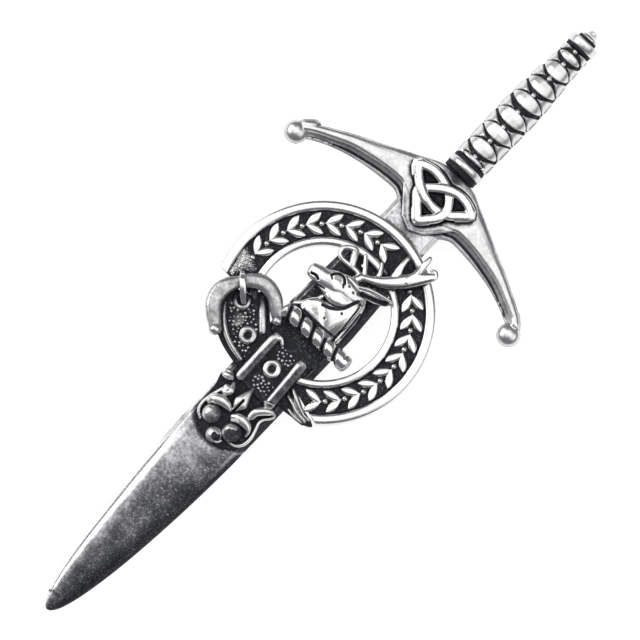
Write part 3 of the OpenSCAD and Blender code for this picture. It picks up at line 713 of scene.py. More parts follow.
@dataclass(frozen=True)
class CastSilver:
    """Blackened and polished silver-coloured casting."""

    name: str
    bright: tuple[float, float, float] = (0.72, 0.71, 0.70)
    dull: tuple[float, float, float] = (0.30, 0.30, 0.32)
    black: tuple[float, float, float] = (0.022, 0.023, 0.028)
    # How many times brighter the black is where it is thin
    thin_black: float = 4
    polish: float = 0.20
    dullness: float = 0.42
    black_from: float = 0.25
    black_to: float = 0.75
    grain: float = 0.35
    mottling: float = 0.6
    brushed: float = 0.0
    sparkle: float = 0.0
    # Noise patterns: scale and detail
    cloud: tuple[float, float] = (420, 4)
    mottle: tuple[float, float] = (2300, 5)
    speck: tuple[float, float] = (7000, 2)
    glitter: tuple[float, float] = (4800, 1)
    strokes: tuple[float, float] = (5200, 3)
    # How far mottles, clouds and wear move the edge of the black, and roughness that black adds
    ragged: tuple[float, float, float] = (0.35, 0.25, 0.9)
    black_rough: float = 0.25
    speck_rough: float = 0.1
    stroke_rough: float = 0.12
    bump_m: float = 0.00004

    def material(self) -> bpy.types.Material:
        """Builds the material and returns it."""
        p = Palette(self.name)
        # The kept darkening holds the blackened hollows and the painted shade alike; both feed the black
        # and the tarnish below
        recess_and_shade, wear = p.kept("recess_and_shade"), p.kept("wear")
        cloud, mottle, speck = (p.noise(*of) for of in (self.cloud, self.mottle, self.speck))
        by_mottle, by_cloud, by_wear = self.ragged
        depth = recess_and_shade + (mottle - 0.5) * by_mottle + (cloud - 0.5) * by_cloud - wear * by_wear
        if self.sparkle:
            depth = depth - p.noise(*self.glitter).clipped(0.62, 0.72) * self.sparkle
        black_and_shade_share = depth.clipped(self.black_from, self.black_to)
        tarnish_and_shade = ((cloud + mottle) * self.mottling - wear * 0.5 + recess_and_shade * 0.5).clipped(0.35, 0.95)
        metal = p.blend(tarnish_and_shade, (*self.bright, 1), (*self.dull, 1))
        thin = tuple(self.thin_black * c for c in self.black)
        darkening = p.blend(mottle.clipped(0.5, 0.72), (*self.black, 1), (*thin, 1))
        rough = self.polish + tarnish_and_shade * (self.dullness - self.polish) + black_and_shade_share * self.black_rough
        rough = rough + (speck - 0.5) * self.speck_rough
        height = (mottle - 0.5) * 0.5 + (speck - 0.5) * 0.5
        if self.brushed:
            lines = p.noise(*self.strokes, (1, 0.05, 1))
            height = height + (lines - 0.5) * self.brushed
            rough = rough + (lines - 0.5) * self.stroke_rough
        bump = p.node(
            "ShaderNodeBump", {}, {"Strength": self.grain, "Distance": self.bump_m, "Height": height}
        )
        return p.surface({
            "Base Color": p.blend(black_and_shade_share, metal, darkening),
            "Metallic": 1 - black_and_shade_share * 0.35,
            "Roughness": rough,
            "Normal": bump.outputs["Normal"],
        })


SILVER = (0.76, 0.75, 0.74)
FINISHES = {
    Lustre.BLADE: CastSilver(
        "blade_silver", bright=(0.86, 0.85, 0.85), dull=(0.11, 0.115, 0.13), black_from=0.45, black_to=1.0,
        mottling=0.36, brushed=0.4, sparkle=0.7,
    ),
    Lustre.SATIN: CastSilver("satin_silver", bright=SILVER, polish=0.28, dullness=0.44, mottling=0.5),
    Lustre.POLISHED: CastSilver("polished_silver", bright=SILVER, mottling=0.4, grain=0.2),
    Lustre.ANTIQUED: CastSilver(
        "antiqued_silver", bright=SILVER, black_from=0.22, black_to=0.65, polish=0.3, mottling=0.4,
        grain=0.25,
    ),
    Lustre.BLACKENED: CastSilver("blackened_silver", black_from=0.1, black_to=0.5, dull=(0.2, 0.2, 0.22)),
    Lustre.PLAIN: CastSilver("pin_silver", black_from=0.6, black_to=1.3, brushed=0.3),
}


# The studio


@dataclass
class Studio:
    """Pale floor, soft light and the camera."""

    azimuth: float = 43.483
    elevation: float = 84.36
    distance: float = 1.5
    target: tuple[float, float, float] = (-0.000166, -0.000168, 0.0048)
    focal_px: float = 11975.0
    sensor: float = 36.0
    image_px: float = 640.0
    clip: tuple[float, float] = (0.01, 10)
    floor_size: float = 6.0
    floor_grey: float = 0.38
    floor_rough: float = 0.9
    floor_glow: float = 0.87
    sky: tuple[float, float, float] = (0.9, 0.93, 1.0)
    sky_strength: float = 0.2

    # Lights: name, direction in the picture clockwise from the top and height above the horizon in
    # degrees, distance, width and height in metres, and power in watts
    LIGHTS = (
        ("key", -62, 38, 1.2, (1.2, 0.8), 6.6),
        ("right", 110, 50, 1.2, (0.9, 1.0), 3.2),
        ("top", 0, 78, 1.2, (1.0, 1.0), 4.0),
    )

    def stand(self, obj: Object, place: Vector, looks: Vector) -> None:
        """Puts a camera or a light at a place and turns it to look one way."""
        obj.location = place
        obj.rotation_mode = "QUATERNION"
        obj.rotation_quaternion = looks.to_track_quat("-Z", "Y")
        bpy.context.scene.collection.objects.link(obj)

    def camera(self) -> None:
        """Sets the camera at the photograph's angle."""
        data = bpy.data.cameras.new("camera")
        data.sensor_width = self.sensor
        data.lens = self.focal_px * self.sensor / self.image_px
        data.clip_start, data.clip_end = self.clip
        a, e = math.radians(self.azimuth), math.radians(self.elevation)
        back = Vector((math.sin(a) * math.cos(e), -math.cos(a) * math.cos(e), math.sin(e)))
        cam = bpy.data.objects.new("camera", data)
        self.stand(cam, Vector(self.target) + back * self.distance, -back)
        bpy.context.scene.camera = cam

    def floor(self) -> None:
        """Lays a pale floor."""
        bpy.ops.object.select_all(action="DESELECT")
        bpy.ops.mesh.primitive_plane_add(size=self.floor_size, location=(0, 0, 0))
        plane = bpy.context.view_layer.objects.active
        plane.name = "floor"
        plane.data.materials.append(Palette("pale_floor").surface({
            "Base Color": (*[self.floor_grey] * 3, 1),
            "Roughness": self.floor_rough,
            "Emission Color": (1, 1, 1, 1),
            "Emission Strength": self.floor_glow,
        }))

    def lights(self) -> None:
        """Hangs the soft lights and sets the surroundings."""
        world = bpy.data.worlds.new("surroundings")
        world.use_nodes = True
        sky = world.node_tree.nodes["Background"].inputs
        sky["Color"].default_value = (*self.sky, 1)
        sky["Strength"].default_value = self.sky_strength
        bpy.context.scene.world = world
        for name, turn, lift, away, size, power in self.LIGHTS:
            a, e = math.radians(self.azimuth - turn), math.radians(lift)
            light = bpy.data.lights.new(name, "AREA")
            light.shape = "RECTANGLE"
            light.size, light.size_y = size
            light.energy = power
            flat = Vector((-math.sin(a), math.cos(a), 0))
            place = flat * math.cos(e) * away + Vector((0, 0, math.sin(e) * away))
            self.stand(bpy.data.objects.new(name, light), place, -place)
        bpy.context.scene.view_settings.view_transform = "Standard"


# The sword


@dataclass(frozen=True)
class Picture:
    """Where a place seen in the photograph lies on the pin.

    Places across and along the sword are in steps of the photograph, the second from its point.
    The camera leans, so a place that is higher up is seen shifted.
    """

    sword_l: float = 100.0
    seen_l: float = 796.4
    tip: tuple[float, float] = (0.8, 0.8)
    lean: tuple[float, float] = (0.0971, -0.1012)
    level: float = 4.8
    # Where a smudge ends and is full, as shares of its half width
    fade: tuple[float, float] = (1.3, 0.6)

    @property
    def step(self) -> float:
        """Length of one step in millimetres."""
        return self.sword_l / self.seen_l

    def seen(self, u: float, v: float, z: float) -> tuple[float, float]:
        """Place on the pin of what is seen at (u, v) and lies at height z."""
        rise = z - self.level
        x = (u - self.tip[0]) * self.step + self.lean[0] * rise
        y = (v - self.tip[1]) * self.step + self.lean[1] * rise - self.sword_l / 2
        return x, y

    def place_seen(self, co: np.ndarray) -> tuple[np.ndarray, np.ndarray]:
        """Where points of the pin are seen, across and along the sword, in steps."""
        rise = co[:, 2] - self.level
        u = (co[:, 0] - self.lean[0] * rise) / self.step + self.tip[0]
        v = (co[:, 1] + self.sword_l / 2 - self.lean[1] * rise) / self.step + self.tip[1]
        return u, v

    def line(self, places: Rows, z: float) -> np.ndarray:
        """Places on the pin of a line seen at height z."""
        return np.array([self.seen(u, v, z) for u, v in places])

    def smudge(self, co: np.ndarray, marks: tuple[tuple[Rows, float, float], ...]) -> np.ndarray:
        """Blackening along lines as the photograph shows them.

        Args:
            co: Points of a piece.
            marks: Each line's places, its half width in steps and how black it is.

        Returns:
            How black each point is.
        """
        at = np.stack(self.place_seen(co), 1)
        out = np.zeros(len(co))
        for places, half, black in marks:
            path = smooth_path(places, 4) if len(places) > 2 else np.asarray(places, float)
            out = np.maximum(out, black * soft_step(distance_to_path(at, path) / half, *self.fade))
        return out

    def strand(self, rows: Rows) -> np.ndarray:
        """Rows of a strand made into millimetres.

        Args:
            rows: Place seen, height of its middle and half its height in millimetres, half its
                width in steps: (u, v, z, half width, half height).

        Returns:
            Place, half width and half height of each row.
        """
        return np.array([(*self.seen(u, v, z), z, w * self.step, h) for u, v, z, w, h in rows])


PICTURE = Picture()


@dataclass
class Blade:
    """Leaf-shaped blade, convex at its point and flat under the badge."""

    length: float = 100.0
    back_z: float = 4.6
    width: float = 8.9
    ricasso_w: float = 7.4
    least_half: float = 0.14
    thickness: float = 2.4
    edge_t: float = 0.8
    land_t: float = 1.9
    point_l: float = 31.4
    taper_from: float = 50.6
    taper_l: float = 14.1
    flat_s: float = 28.8
    end: float = 19.9
    crown: float = 4.0
    land_bevel: float = 0.16
    # Close rings at the point, how many and how far, and then the others, how many and from where
    tip_rings: tuple[int, float] = (10, 1.2)
    rings: tuple[int, float] = (260, 1.4)
    points_across: int = 75

    # Tarnish and painted shade: its strength, and where it starts and is full across, in shares of half the
    # width, and along, in steps from the point. The first darkens all but the left edge, tarnish that also
    # keeps the reflection to a band there; the second and the sixth are painted shade on the right side and
    # along the right edge; the last is painted shade that dims the left edge near the chape
    TARNISH_AND_SHADE = (
        (0.63, (-0.82, -0.55), None), (0.1, (0.2, 1.0), None), (0.17, (-0.75, 0.1), (230, 165)),
        (0.1, (0.2, 0.6), (130, 200)), (0.12, (0.1, 0.9), (170, 60)), (0.6, (0.88, 0.97), (40, 90)),
        (0.05, None, (110, 15)), (0.5, (-0.6, -0.8), (190, 225)),
    )
    TARNISH_AND_SHADE_END = (256, 236)
    # Where the painted shadow round the chape, the painted shade under the belt and behind the stag, and
    # the darkening of the ricasso start and are full
    CHAPE_FROM = (218, 237)
    BELT_FROM = (300, 306)
    STAG_FROM = (392, 398)
    RICASSO_FROM = (505, 515)
    # Painted shade line where the point's facet turns down
    TIP_LINE = ((((-13, 16), (-4, 19), (6, 20), (14, 27)), 1.4, 0.9),)

    def half(self, s: np.ndarray) -> np.ndarray:
        """Half the blade's width at distances from the point."""
        t = np.minimum(s / self.point_l, 1)
        taper = np.clip((s - self.taper_from) / self.taper_l, 0, 1)
        wide = self.width / 2 * (1 - (1 - t) ** 1.6) ** 0.477
        return np.maximum(self.least_half, wide) + taper * (self.ricasso_w - self.width) / 2

    def build(self, bench: Bench) -> None:
        """Models the blade."""
        (fine, reach), (count, start) = self.tip_rings, self.rings
        end = self.end + self.length / 2
        s = np.concatenate([reach * np.linspace(0, 1, fine) ** 1.7, np.linspace(start, end, count)])
        across = np.sin(np.linspace(-1, 1, self.points_across) * math.pi / 2)
        convex = np.maximum(1 - np.abs(across) ** self.crown, 0) ** 0.8
        land = np.minimum(1, (1 - np.abs(across)) / self.land_bevel)
        rings = []
        for place, half in zip(s, self.half(s)):
            rise = min(1.0, 0.25 + place / (0.6 * self.point_l)) ** 0.7
            flatness = soft_step(place, self.flat_s - 5, self.flat_s + 1)
            z = self.edge_t * rise + (1 - flatness) * (self.thickness - self.edge_t) * rise * convex
            z += flatness * (self.land_t - self.edge_t) * land
            along = np.full(len(across), place)
            top = np.stack([half * across, along, z], 1)
            under = np.stack([half * across[::-1], along, np.zeros(len(across))], 1)
            rings.append(np.vstack([top, under]))
        r = np.array(rings) + np.array([0, -self.length / 2, self.back_z])
        blade = bench.skin(*closed_skin(r), "blade")
        bench.set_in_frame(blade, "sword_blade", ("blade",), Lustre.BLADE, self.darkening)

    def darkening(self, co: np.ndarray) -> np.ndarray:
        """Tarnish along the middle, painted shade on the right, a painted shadow round the chape, painted
        shade under the belt and behind the stag, the ricasso darker, and a painted shade line at the point.
        """
        u, v = PICTURE.place_seen(co)
        share = co[:, 0] / self.half(co[:, 1] + self.length / 2)
        out = np.zeros(len(co))
        for strength, over, along in self.TARNISH_AND_SHADE:
            by_share = soft_step(share, *over) if over else 1
            out += strength * by_share * (soft_step(v, *along) if along else 1)
        out *= soft_step(v, *self.TARNISH_AND_SHADE_END)
        # Painted shadow round the chape's lower end, lighter along the blade's left edge
        chape_shadow = soft_step(v - 0.015 * u * u, *self.CHAPE_FROM) * soft_step(v, 330, 300)
        chape_shadow *= 1 - 0.8 * soft_step(u, -31, -34)
        # Painted shade under the belt
        shade_under_belt = soft_step(v, *self.BELT_FROM) * soft_step(v, *self.STAG_FROM[::-1])
        # Painted shade behind the stag, lighter at the upper left and darker to the right
        shade_behind_stag = 0.95 - 0.25 * soft_step(u, -24, -14) * soft_step(v, 435, 450)
        shade_behind_stag = (shade_behind_stag + 0.3 * soft_step(u, 12, 24)) * (0.3 + 0.7 * soft_step(u, -35, -32))
        shade_behind_stag *= soft_step(v, *self.STAG_FROM) * soft_step(v, *self.RICASSO_FROM[::-1])
        ricasso = 0.46 + 0.14 * soft_step(np.abs(u), 20, 8) + 0.12 * soft_step(-u, 8, 20)
        ricasso *= soft_step(v, *self.RICASSO_FROM)
        tip_line = PICTURE.smudge(co, self.TIP_LINE)
        return np.maximum.reduce([out, chape_shadow, shade_under_belt, shade_behind_stag, ricasso, tip_line])


@dataclass
class Guard:
    """Boss, two drooping quillons that end in balls, and the knot on the boss."""

    back_z: float = 4.6
    top_z: float = 7.3
    ball_r: float = 12.3
    voxel: float = 0.11
    knot_voxel: float = 0.075
    tongue_low: float = 6.6
    # The groove round the knot: half its width and its depth
    channel: tuple[float, float] = (0.95, 0.4)
    ball_squash: float = 0.78
    ribbon_half: float = 4.9

    # Distance from the middle; the upper edge, the lower edge of the face and the lower outline
    QUILLON = (
        (0, 598.5, 545, 527),
        (20, 597.5, 549, 534),
        (31, 593.0, 553, 541),
        (40, 588.5, 556, 545),
        (60, 579.0, 555, 544),
        (80, 569.0, 551.5, 541.5),
        (100, 560.0, 546.5, 537),
        (120, 549.5, 538, 530),
        (135, 541.0, 531, 522.5),
        (146, 533.0, 524, 516),
    )
    TONGUE = (
        (-36, 556), (-31, 550), (-25, 543), (-14, 530), (0, 524), (14, 530), (25, 543), (31, 550),
        (36, 556), (36, 575), (-36, 575),
    )
    BALLS = ((-148, 518.5), (146, 516))
    # Painted shade along the quillons' upper edges, darker on the left, and darkening along the tongue's
    # lower edge: places seen, half width and how black
    MARKS = (
        (((-150, 536), (-120, 552), (-80, 572), (-45, 588)), 4.5, 0.54),
        (((45, 588), (80, 571), (120, 552), (148, 533)), 4.0, 0.42),
        (((-27, 545), (-13, 531), (0, 526), (13, 531), (27, 545)), 4.5, 0.45),
    )

    # The knot's ribbon: place seen and level, 0 under and 1 over
    RIBBON = (
        (-37, 579, 0.5), (-28, 570, 0.5), (-18, 563, 0.9), (-8, 559, 0.9), (2, 557.5, 0.2),
        (11, 558.5, 0.1), (20, 562.5, 0.3), (28, 569.5, 0.5), (35, 577, 0.5), (27, 583, 0.6),
        (15, 584.5, 0.5), (6, 582.5, 0.9), (-3, 578, 0.9), (-10, 572.5, 0.5), (-16, 567, 0.1),
        (-20, 560, 0.1), (-14, 552, 0.5), (-7, 545, 0.5), (0, 538.5, 0.5), (7, 545, 0.5), (13, 552, 0.9),
        (15.5, 560, 0.9), (14, 568, 0.5), (9, 575, 0.1), (2, 580, 0.1), (-8, 584, 0.3), (-20, 585.5, 0.5),
        (-30, 583.5, 0.5),
    )
    # The blackened three-cornered space that the ribbon encloses
    ENCLOSED = ((-38, 580), (36, 579), (0, 536))
    CORNERS = (
        (
            (-45, 580.5), (-41, 586.5), (-28, 589), (-28, 581.5), (-32.5, 580.2), (-27.5, 574.2),
            (-34, 566), (-42, 573.5),
        ),
        (
            (41.5, 577.5), (37, 584.5), (27, 588.5), (26, 580.5), (28.5, 578), (22, 569), (28, 561.5),
            (38.5, 571.5),
        ),
        ((0, 531.5), (6, 535.5), (13, 543.5), (5.5, 549), (0, 540.5), (-6, 549), (-14, 544), (-6, 535)),
    )

    def ribbon_path(self) -> np.ndarray:
        """The knot's ribbon as a closed line on the guard's face."""
        places = PICTURE.line([(u, v) for u, v, _ in self.RIBBON], self.top_z)
        return smooth_path(places, 4, closed=True)

    def quillons(self, bench: Bench) -> Object:
        """Lofts the boss and both quillons from ball to ball."""
        half = smooth_path(self.QUILLON, 14)
        both = np.vstack([half[:0:-1] * [-1, 1, 1, 1], half])
        k, low, top = PICTURE.step, self.back_z, self.top_z
        rings = []
        for u, upper, crease, lower in both:
            x, y_top = PICTURE.seen(u, upper, top)
            y_crease = PICTURE.seen(u, crease, top)[1]
            y_low = PICTURE.seen(u, lower, top - 0.8)[1]
            face = y_top - y_crease
            # Back and upper edge, the face, the groove under it, and the lower edge
            rings.append([
                (x, y_top - 0.25, low), (x, y_top, low + 0.3), (x, y_top + 0.02, top - 0.75),
                (x, y_top - 0.10, top - 0.42), (x, y_top - 0.18 * face, top - 0.16),
                (x, y_top - 0.4 * face, top - 0.03),
                (x, y_top - 0.7 * face, top), (x, y_crease + 0.3, top - 0.04),
                (x, y_crease + 0.06, top - 0.16),
                (x, y_crease - 0.04, top - 0.36), (x, y_crease - 4.2 * k, top - 0.58),
                (x, y_crease - 5.2 * k, top - 0.95),
                (x, y_crease - 6.8 * k, top - 0.95), (x, y_crease - 7.6 * k, top - 0.66),
                (x, y_low + 0.12, top - 0.68),
                (x, y_low, top - 0.95),
                (x, y_low, low + 0.3), (x, y_low + 0.25, low),
            ])
        return bench.skin(*closed_skin(np.array(rings)), "quillons")

    def balls(self, bench: Bench) -> list[Object]:
        """Makes the balls and the necks that carry them."""
        out = []
        for u, v in self.BALLS:
            z = self.back_z + 1.35
            side = math.copysign(1, u)
            r = self.ball_r * PICTURE.step
            out.append(bench.ball(*PICTURE.seen(u, v, z), z + 0.3, r, self.ball_squash))
            out.append(bench.strand(PICTURE.strand((
                (u, v + 5, z, 7, 0.9), (u - side * 2, v + 11, z + 0.3, 6.5, 1.05),
                (u - side * 9, v + 18, z + 0.2, 6, 1.1),
            ))))
        return out

    def build(self, bench: Bench) -> None:
        """Models the guard and the knot."""
        outline = PICTURE.line(self.TONGUE, self.top_z)
        tongue = bench.slab(outline, self.tongue_low, self.top_z - 0.1)
        body = bench.fuse([self.quillons(bench), tongue, *self.balls(bench)], self.voxel)
        bench.carve(body, self.ribbon_path(), *self.channel, self.top_z - 0.6)
        bench.set_in_frame(body, "guard_cast", ("guard",), Lustre.SATIN, self.darkening)
        base = self.top_z + 0.45
        rows = [(u, v, base + 0.3 * level, self.ribbon_half, 0.5) for u, v, level in self.RIBBON]
        parts = [bench.strand(PICTURE.strand(rows), steps=5, square=0.62, closed=True)]
        for corner in self.CORNERS:
            outline = PICTURE.line(corner, base + 0.5)
            parts.append(bench.slab(outline, self.top_z + 0.08, base + 0.55, 0.2))
        knot = bench.fuse(parts, self.knot_voxel)
        bench.set_in_frame(knot, "triple_knot", ("knot",), Lustre.POLISHED)

    def darkening(self, co: np.ndarray) -> np.ndarray:
        """Blackening round the knot, in the groove under the faces and above the knot, and painted shade on
        the faces' slopes and along the upper edges.
        """
        x, y, z = np.abs(co[:, 0]), co[:, 1], co[:, 2] - self.top_z
        channel = 0.85 * soft_step(distance_to_path(co, self.ribbon_path()), 1.1, 0.75)
        channel *= 1 - 0.45 * soft_step(y, 23.3, 23.8)
        holes = inside(co, PICTURE.line(self.ENCLOSED, self.top_z))
        groove = soft_step(z, -0.78, -0.95)
        # Painted shade on the sloped parts of the faces
        slope = 0.4 * soft_step(z, -0.2, -0.36)
        middle = 0.25 * soft_step(x, 5.5, 1.5) * soft_step(y, 22.8, 23.6)
        side = soft_step(z, -1.3, -1.0) * soft_step(x, 16.9, 16.2)
        # Painted shade along the upper edges
        marks = PICTURE.smudge(co, self.MARKS)
        return np.maximum.reduce([channel, holes, groove * side, slope * side, middle, marks])


@dataclass
class Hilt:
    """Collar, patterned grip and pommel."""

    axis_z: float = 5.8
    back_z: float = 4.6
    groove: float = 0.42
    rise: float = 0.28
    spin_steps: int = 96
    grip_grid: tuple[int, int] = (330, 150)
    # Pads and wedges: where their edges start and are full, in steps
    pad_edge: tuple[float, float] = (-1.2, 0.6)
    wedge_edge: tuple[float, float] = (-0.9, 0.8)
    stud_r: float = 3.1
    # Heights of the pads' edges, the wedges and the studs, as shares of the groove's depth
    heights: tuple[float, float, float] = (0.85, 0.9, 0.85)
    # A pad's outline: how much longer and wider than its table, and how pointed
    pad_form: tuple[float, float, float] = (1.08, 1.5, 2.3)
    # A wedge: where it starts, its slope, and its gap to the pads
    wedge_form: tuple[float, float, float] = (6.5, 0.62, 1.6)
    mean_half: float = 19.0
    # How far the grip's two ends are rounded, in steps, and by how much, in millimetres
    end_round: tuple[float, float] = (1.2, 0.25)

    # Half width along the grip: place along and half width, both in steps
    FORM = (
        (617, 19.6), (640, 19.9), (665, 20.3), (690, 20.6), (708, 20.0), (725, 18.8), (742, 17.0),
        (757, 16.0), (771, 16.2),
    )
    # Lens pads: middle along, half length and half width
    LENSES = (
        (619.8, 2.6, 13), (635, 6.5, 18), (656, 6.6, 18.5), (677, 7.2, 18.8), (699, 6.6, 19),
        (720, 6.6, 18), (742, 7.2, 15.8), (760.5, 4.0, 13),
    )
    STUDS = (623, 645, 664, 685, 708, 731, 751.5, 769)
    # Half widths along collar and pommel: place along and radius in steps
    COLLAR = (
        (599.5, 17.5), (600, 18.8), (605.2, 18.8), (606, 19.8), (607, 20.3), (611, 20.3), (612, 19.8),
        (612.8, 18.6), (616.6, 18.6), (616.8, 17.5),
    )
    POMMEL = (
        (771.4, 12), (771.6, 14.5), (774.6, 14.6), (775.4, 15.8), (776.4, 16.4), (782.8, 16.4),
        (783.8, 15.7), (784.4, 14), (785, 10.8), (787.6, 10.2), (788.6, 10.3), (790.6, 9.6), (792.4, 7.4),
        (793.4, 5.0), (794, 4.5), (796.4, 4.5), (797.4, 3.6), (798, 1.5),
    )

    # Blackened bands between the rings: where each starts and ends, in steps
    BANDS = ((599, 605.6), (612.6, 617), (771, 775), (784.2, 788))

    def along(self, v: float) -> float:
        """Place along the pin of what is seen v steps up the hilt."""
        return (v - PICTURE.tip[1]) * PICTURE.step - PICTURE.sword_l / 2 - self.rise

    def steps_up(self, co: np.ndarray) -> np.ndarray:
        """How many steps up the sword each point of the hilt is seen."""
        return (co[:, 1] + PICTURE.sword_l / 2 + self.rise) / PICTURE.step + PICTURE.tip[1]

    def turned(self, bench: Bench, rows: Rows, name: str) -> Object:
        """Spins a profile about the sword's length, with its back flat.

        Args:
            bench: Where it is made.
            rows: Place along and radius, in steps.
            name: The object's name.

        Returns:
            The turned piece.
        """
        verts = [(r * PICTURE.step, self.along(v), self.axis_z) for v, r in rows]
        obj = bench.lay(name, verts, [(i, i + 1) for i in range(len(verts) - 1)], [])
        bench.edit(obj)
        middle = (0, 0, self.axis_z)
        bpy.ops.mesh.spin(steps=self.spin_steps, angle=TURN, center=middle, axis=(0, 1, 0))
        bpy.ops.mesh.select_all(action="SELECT")
        bpy.ops.mesh.remove_doubles(threshold=MERGE)
        bpy.ops.mesh.fill_holes(sides=0)
        bpy.ops.object.mode_set(mode="OBJECT")
        co = bench.points(obj)
        co[:, 2] = np.maximum(co[:, 2], self.back_z)
        bench.set_points(obj, co)
        bench.face_outwards(obj)
        bench.modify(obj, "BEVEL", width=0.06, segments=2, limit_method="ANGLE", angle_limit=0.6)
        return obj

    def relief(self, u: np.ndarray, v: float) -> np.ndarray:
        """Height of the grip's pattern, 0 in the grooves and 1 on the pads.

        Args:
            u: Places across, in steps.
            v: Their place along, in steps.

        Returns:
            The height.
        """
        longer, wider, pointed = self.pad_form
        start, slope, gap = self.wedge_form
        pad_z, wedge_z, stud_z = self.heights
        across = np.abs(u)
        pads = np.zeros_like(u)
        nearest = np.full_like(u, FAR_AWAY)
        for middle, long, wide in self.LENSES:
            reach = longer * long * (1 - np.clip(across / (wide + wider), 0, 1.2) ** pointed)
            edge = np.minimum(reach - np.abs(v - middle), wide - across)
            crown = pad_z + (1 - pad_z) * np.clip(edge / long, 0, 1)
            pads = np.maximum(pads, soft_step(edge, *self.pad_edge) * crown)
            nearest = np.minimum(nearest, -edge)
        for stud in self.STUDS:
            edge = np.minimum((across - start) * slope - np.abs(v - stud), nearest - gap)
            pads = np.maximum(pads, soft_step(edge, *self.wedge_edge) * wedge_z)
            dome = np.clip(1 - (np.hypot(u, v - stud) / self.stud_r) ** 2, 0, 1)
            pads = np.maximum(pads, stud_z * np.sqrt(dome))
        return pads

    def grip(self, bench: Bench) -> Object:
        """Models the grip as a patterned half tube on a flat back."""
        v0, v1 = self.FORM[0][0], self.FORM[-1][0]
        form = np.array(self.FORM)
        count, sides = self.grip_grid
        places = np.linspace(v0, v1, count)
        k = PICTURE.step
        tuck = math.asin(min(1.0, (self.axis_z - self.back_z) / (self.mean_half * k)))
        turn = np.linspace(-math.pi / 2 - tuck, math.pi / 2 + tuck, sides)
        over = np.maximum(np.abs(turn) - math.pi / 2, 0)
        rings = []
        for v, h in zip(places, np.interp(places, form[:, 0], form[:, 1])):
            arc = np.where(over > 0, np.sign(turn) * (h + over * h), h * np.sin(turn))
            sunk = self.end_round[1] * soft_step(min(v - v0, v1 - v), self.end_round[0], 0)
            r = h * k - self.groove * (1 - self.relief(arc, v)) - sunk
            z = np.maximum(self.axis_z + r * np.cos(turn), self.back_z)
            rings.append(np.stack([r * np.sin(turn), np.full(sides, self.along(v)), z], 1))
        return bench.skin(*closed_skin(np.array(rings)), "grip")

    def build(self, bench: Bench) -> None:
        """Models the three pieces."""
        collar = self.turned(bench, self.COLLAR, "collar")
        bench.set_in_frame(collar, "collar_ring", ("collar",), Lustre.ANTIQUED, self.soot_rings)
        bench.set_in_frame(self.grip(bench), "grip_cast", ("grip",), Lustre.ANTIQUED, self.soot_grip)
        pommel = self.turned(bench, self.POMMEL, "pommel")
        bench.set_in_frame(pommel, "pommel_cap", ("pommel",), Lustre.ANTIQUED, self.soot_rings)

    def soot_grip(self, co: np.ndarray) -> np.ndarray:
        """Blackening of the grip's grooves."""
        form = np.array(self.FORM)
        half = np.interp(self.steps_up(co), form[:, 0], form[:, 1]) * PICTURE.step
        depth = half - np.hypot(co[:, 0], co[:, 2] - self.axis_z)
        return 0.85 * soft_step(depth, 0.5 * self.groove, self.groove)

    def soot_rings(self, co: np.ndarray) -> np.ndarray:
        """Blackening of the grooves between the rings."""
        v = self.steps_up(co)
        return np.maximum.reduce([
            soft_step(v, low - 0.5, low + 0.3) * soft_step(v, high + 0.5, high - 0.3)
            for low, high in self.BANDS
        ])


# The badge


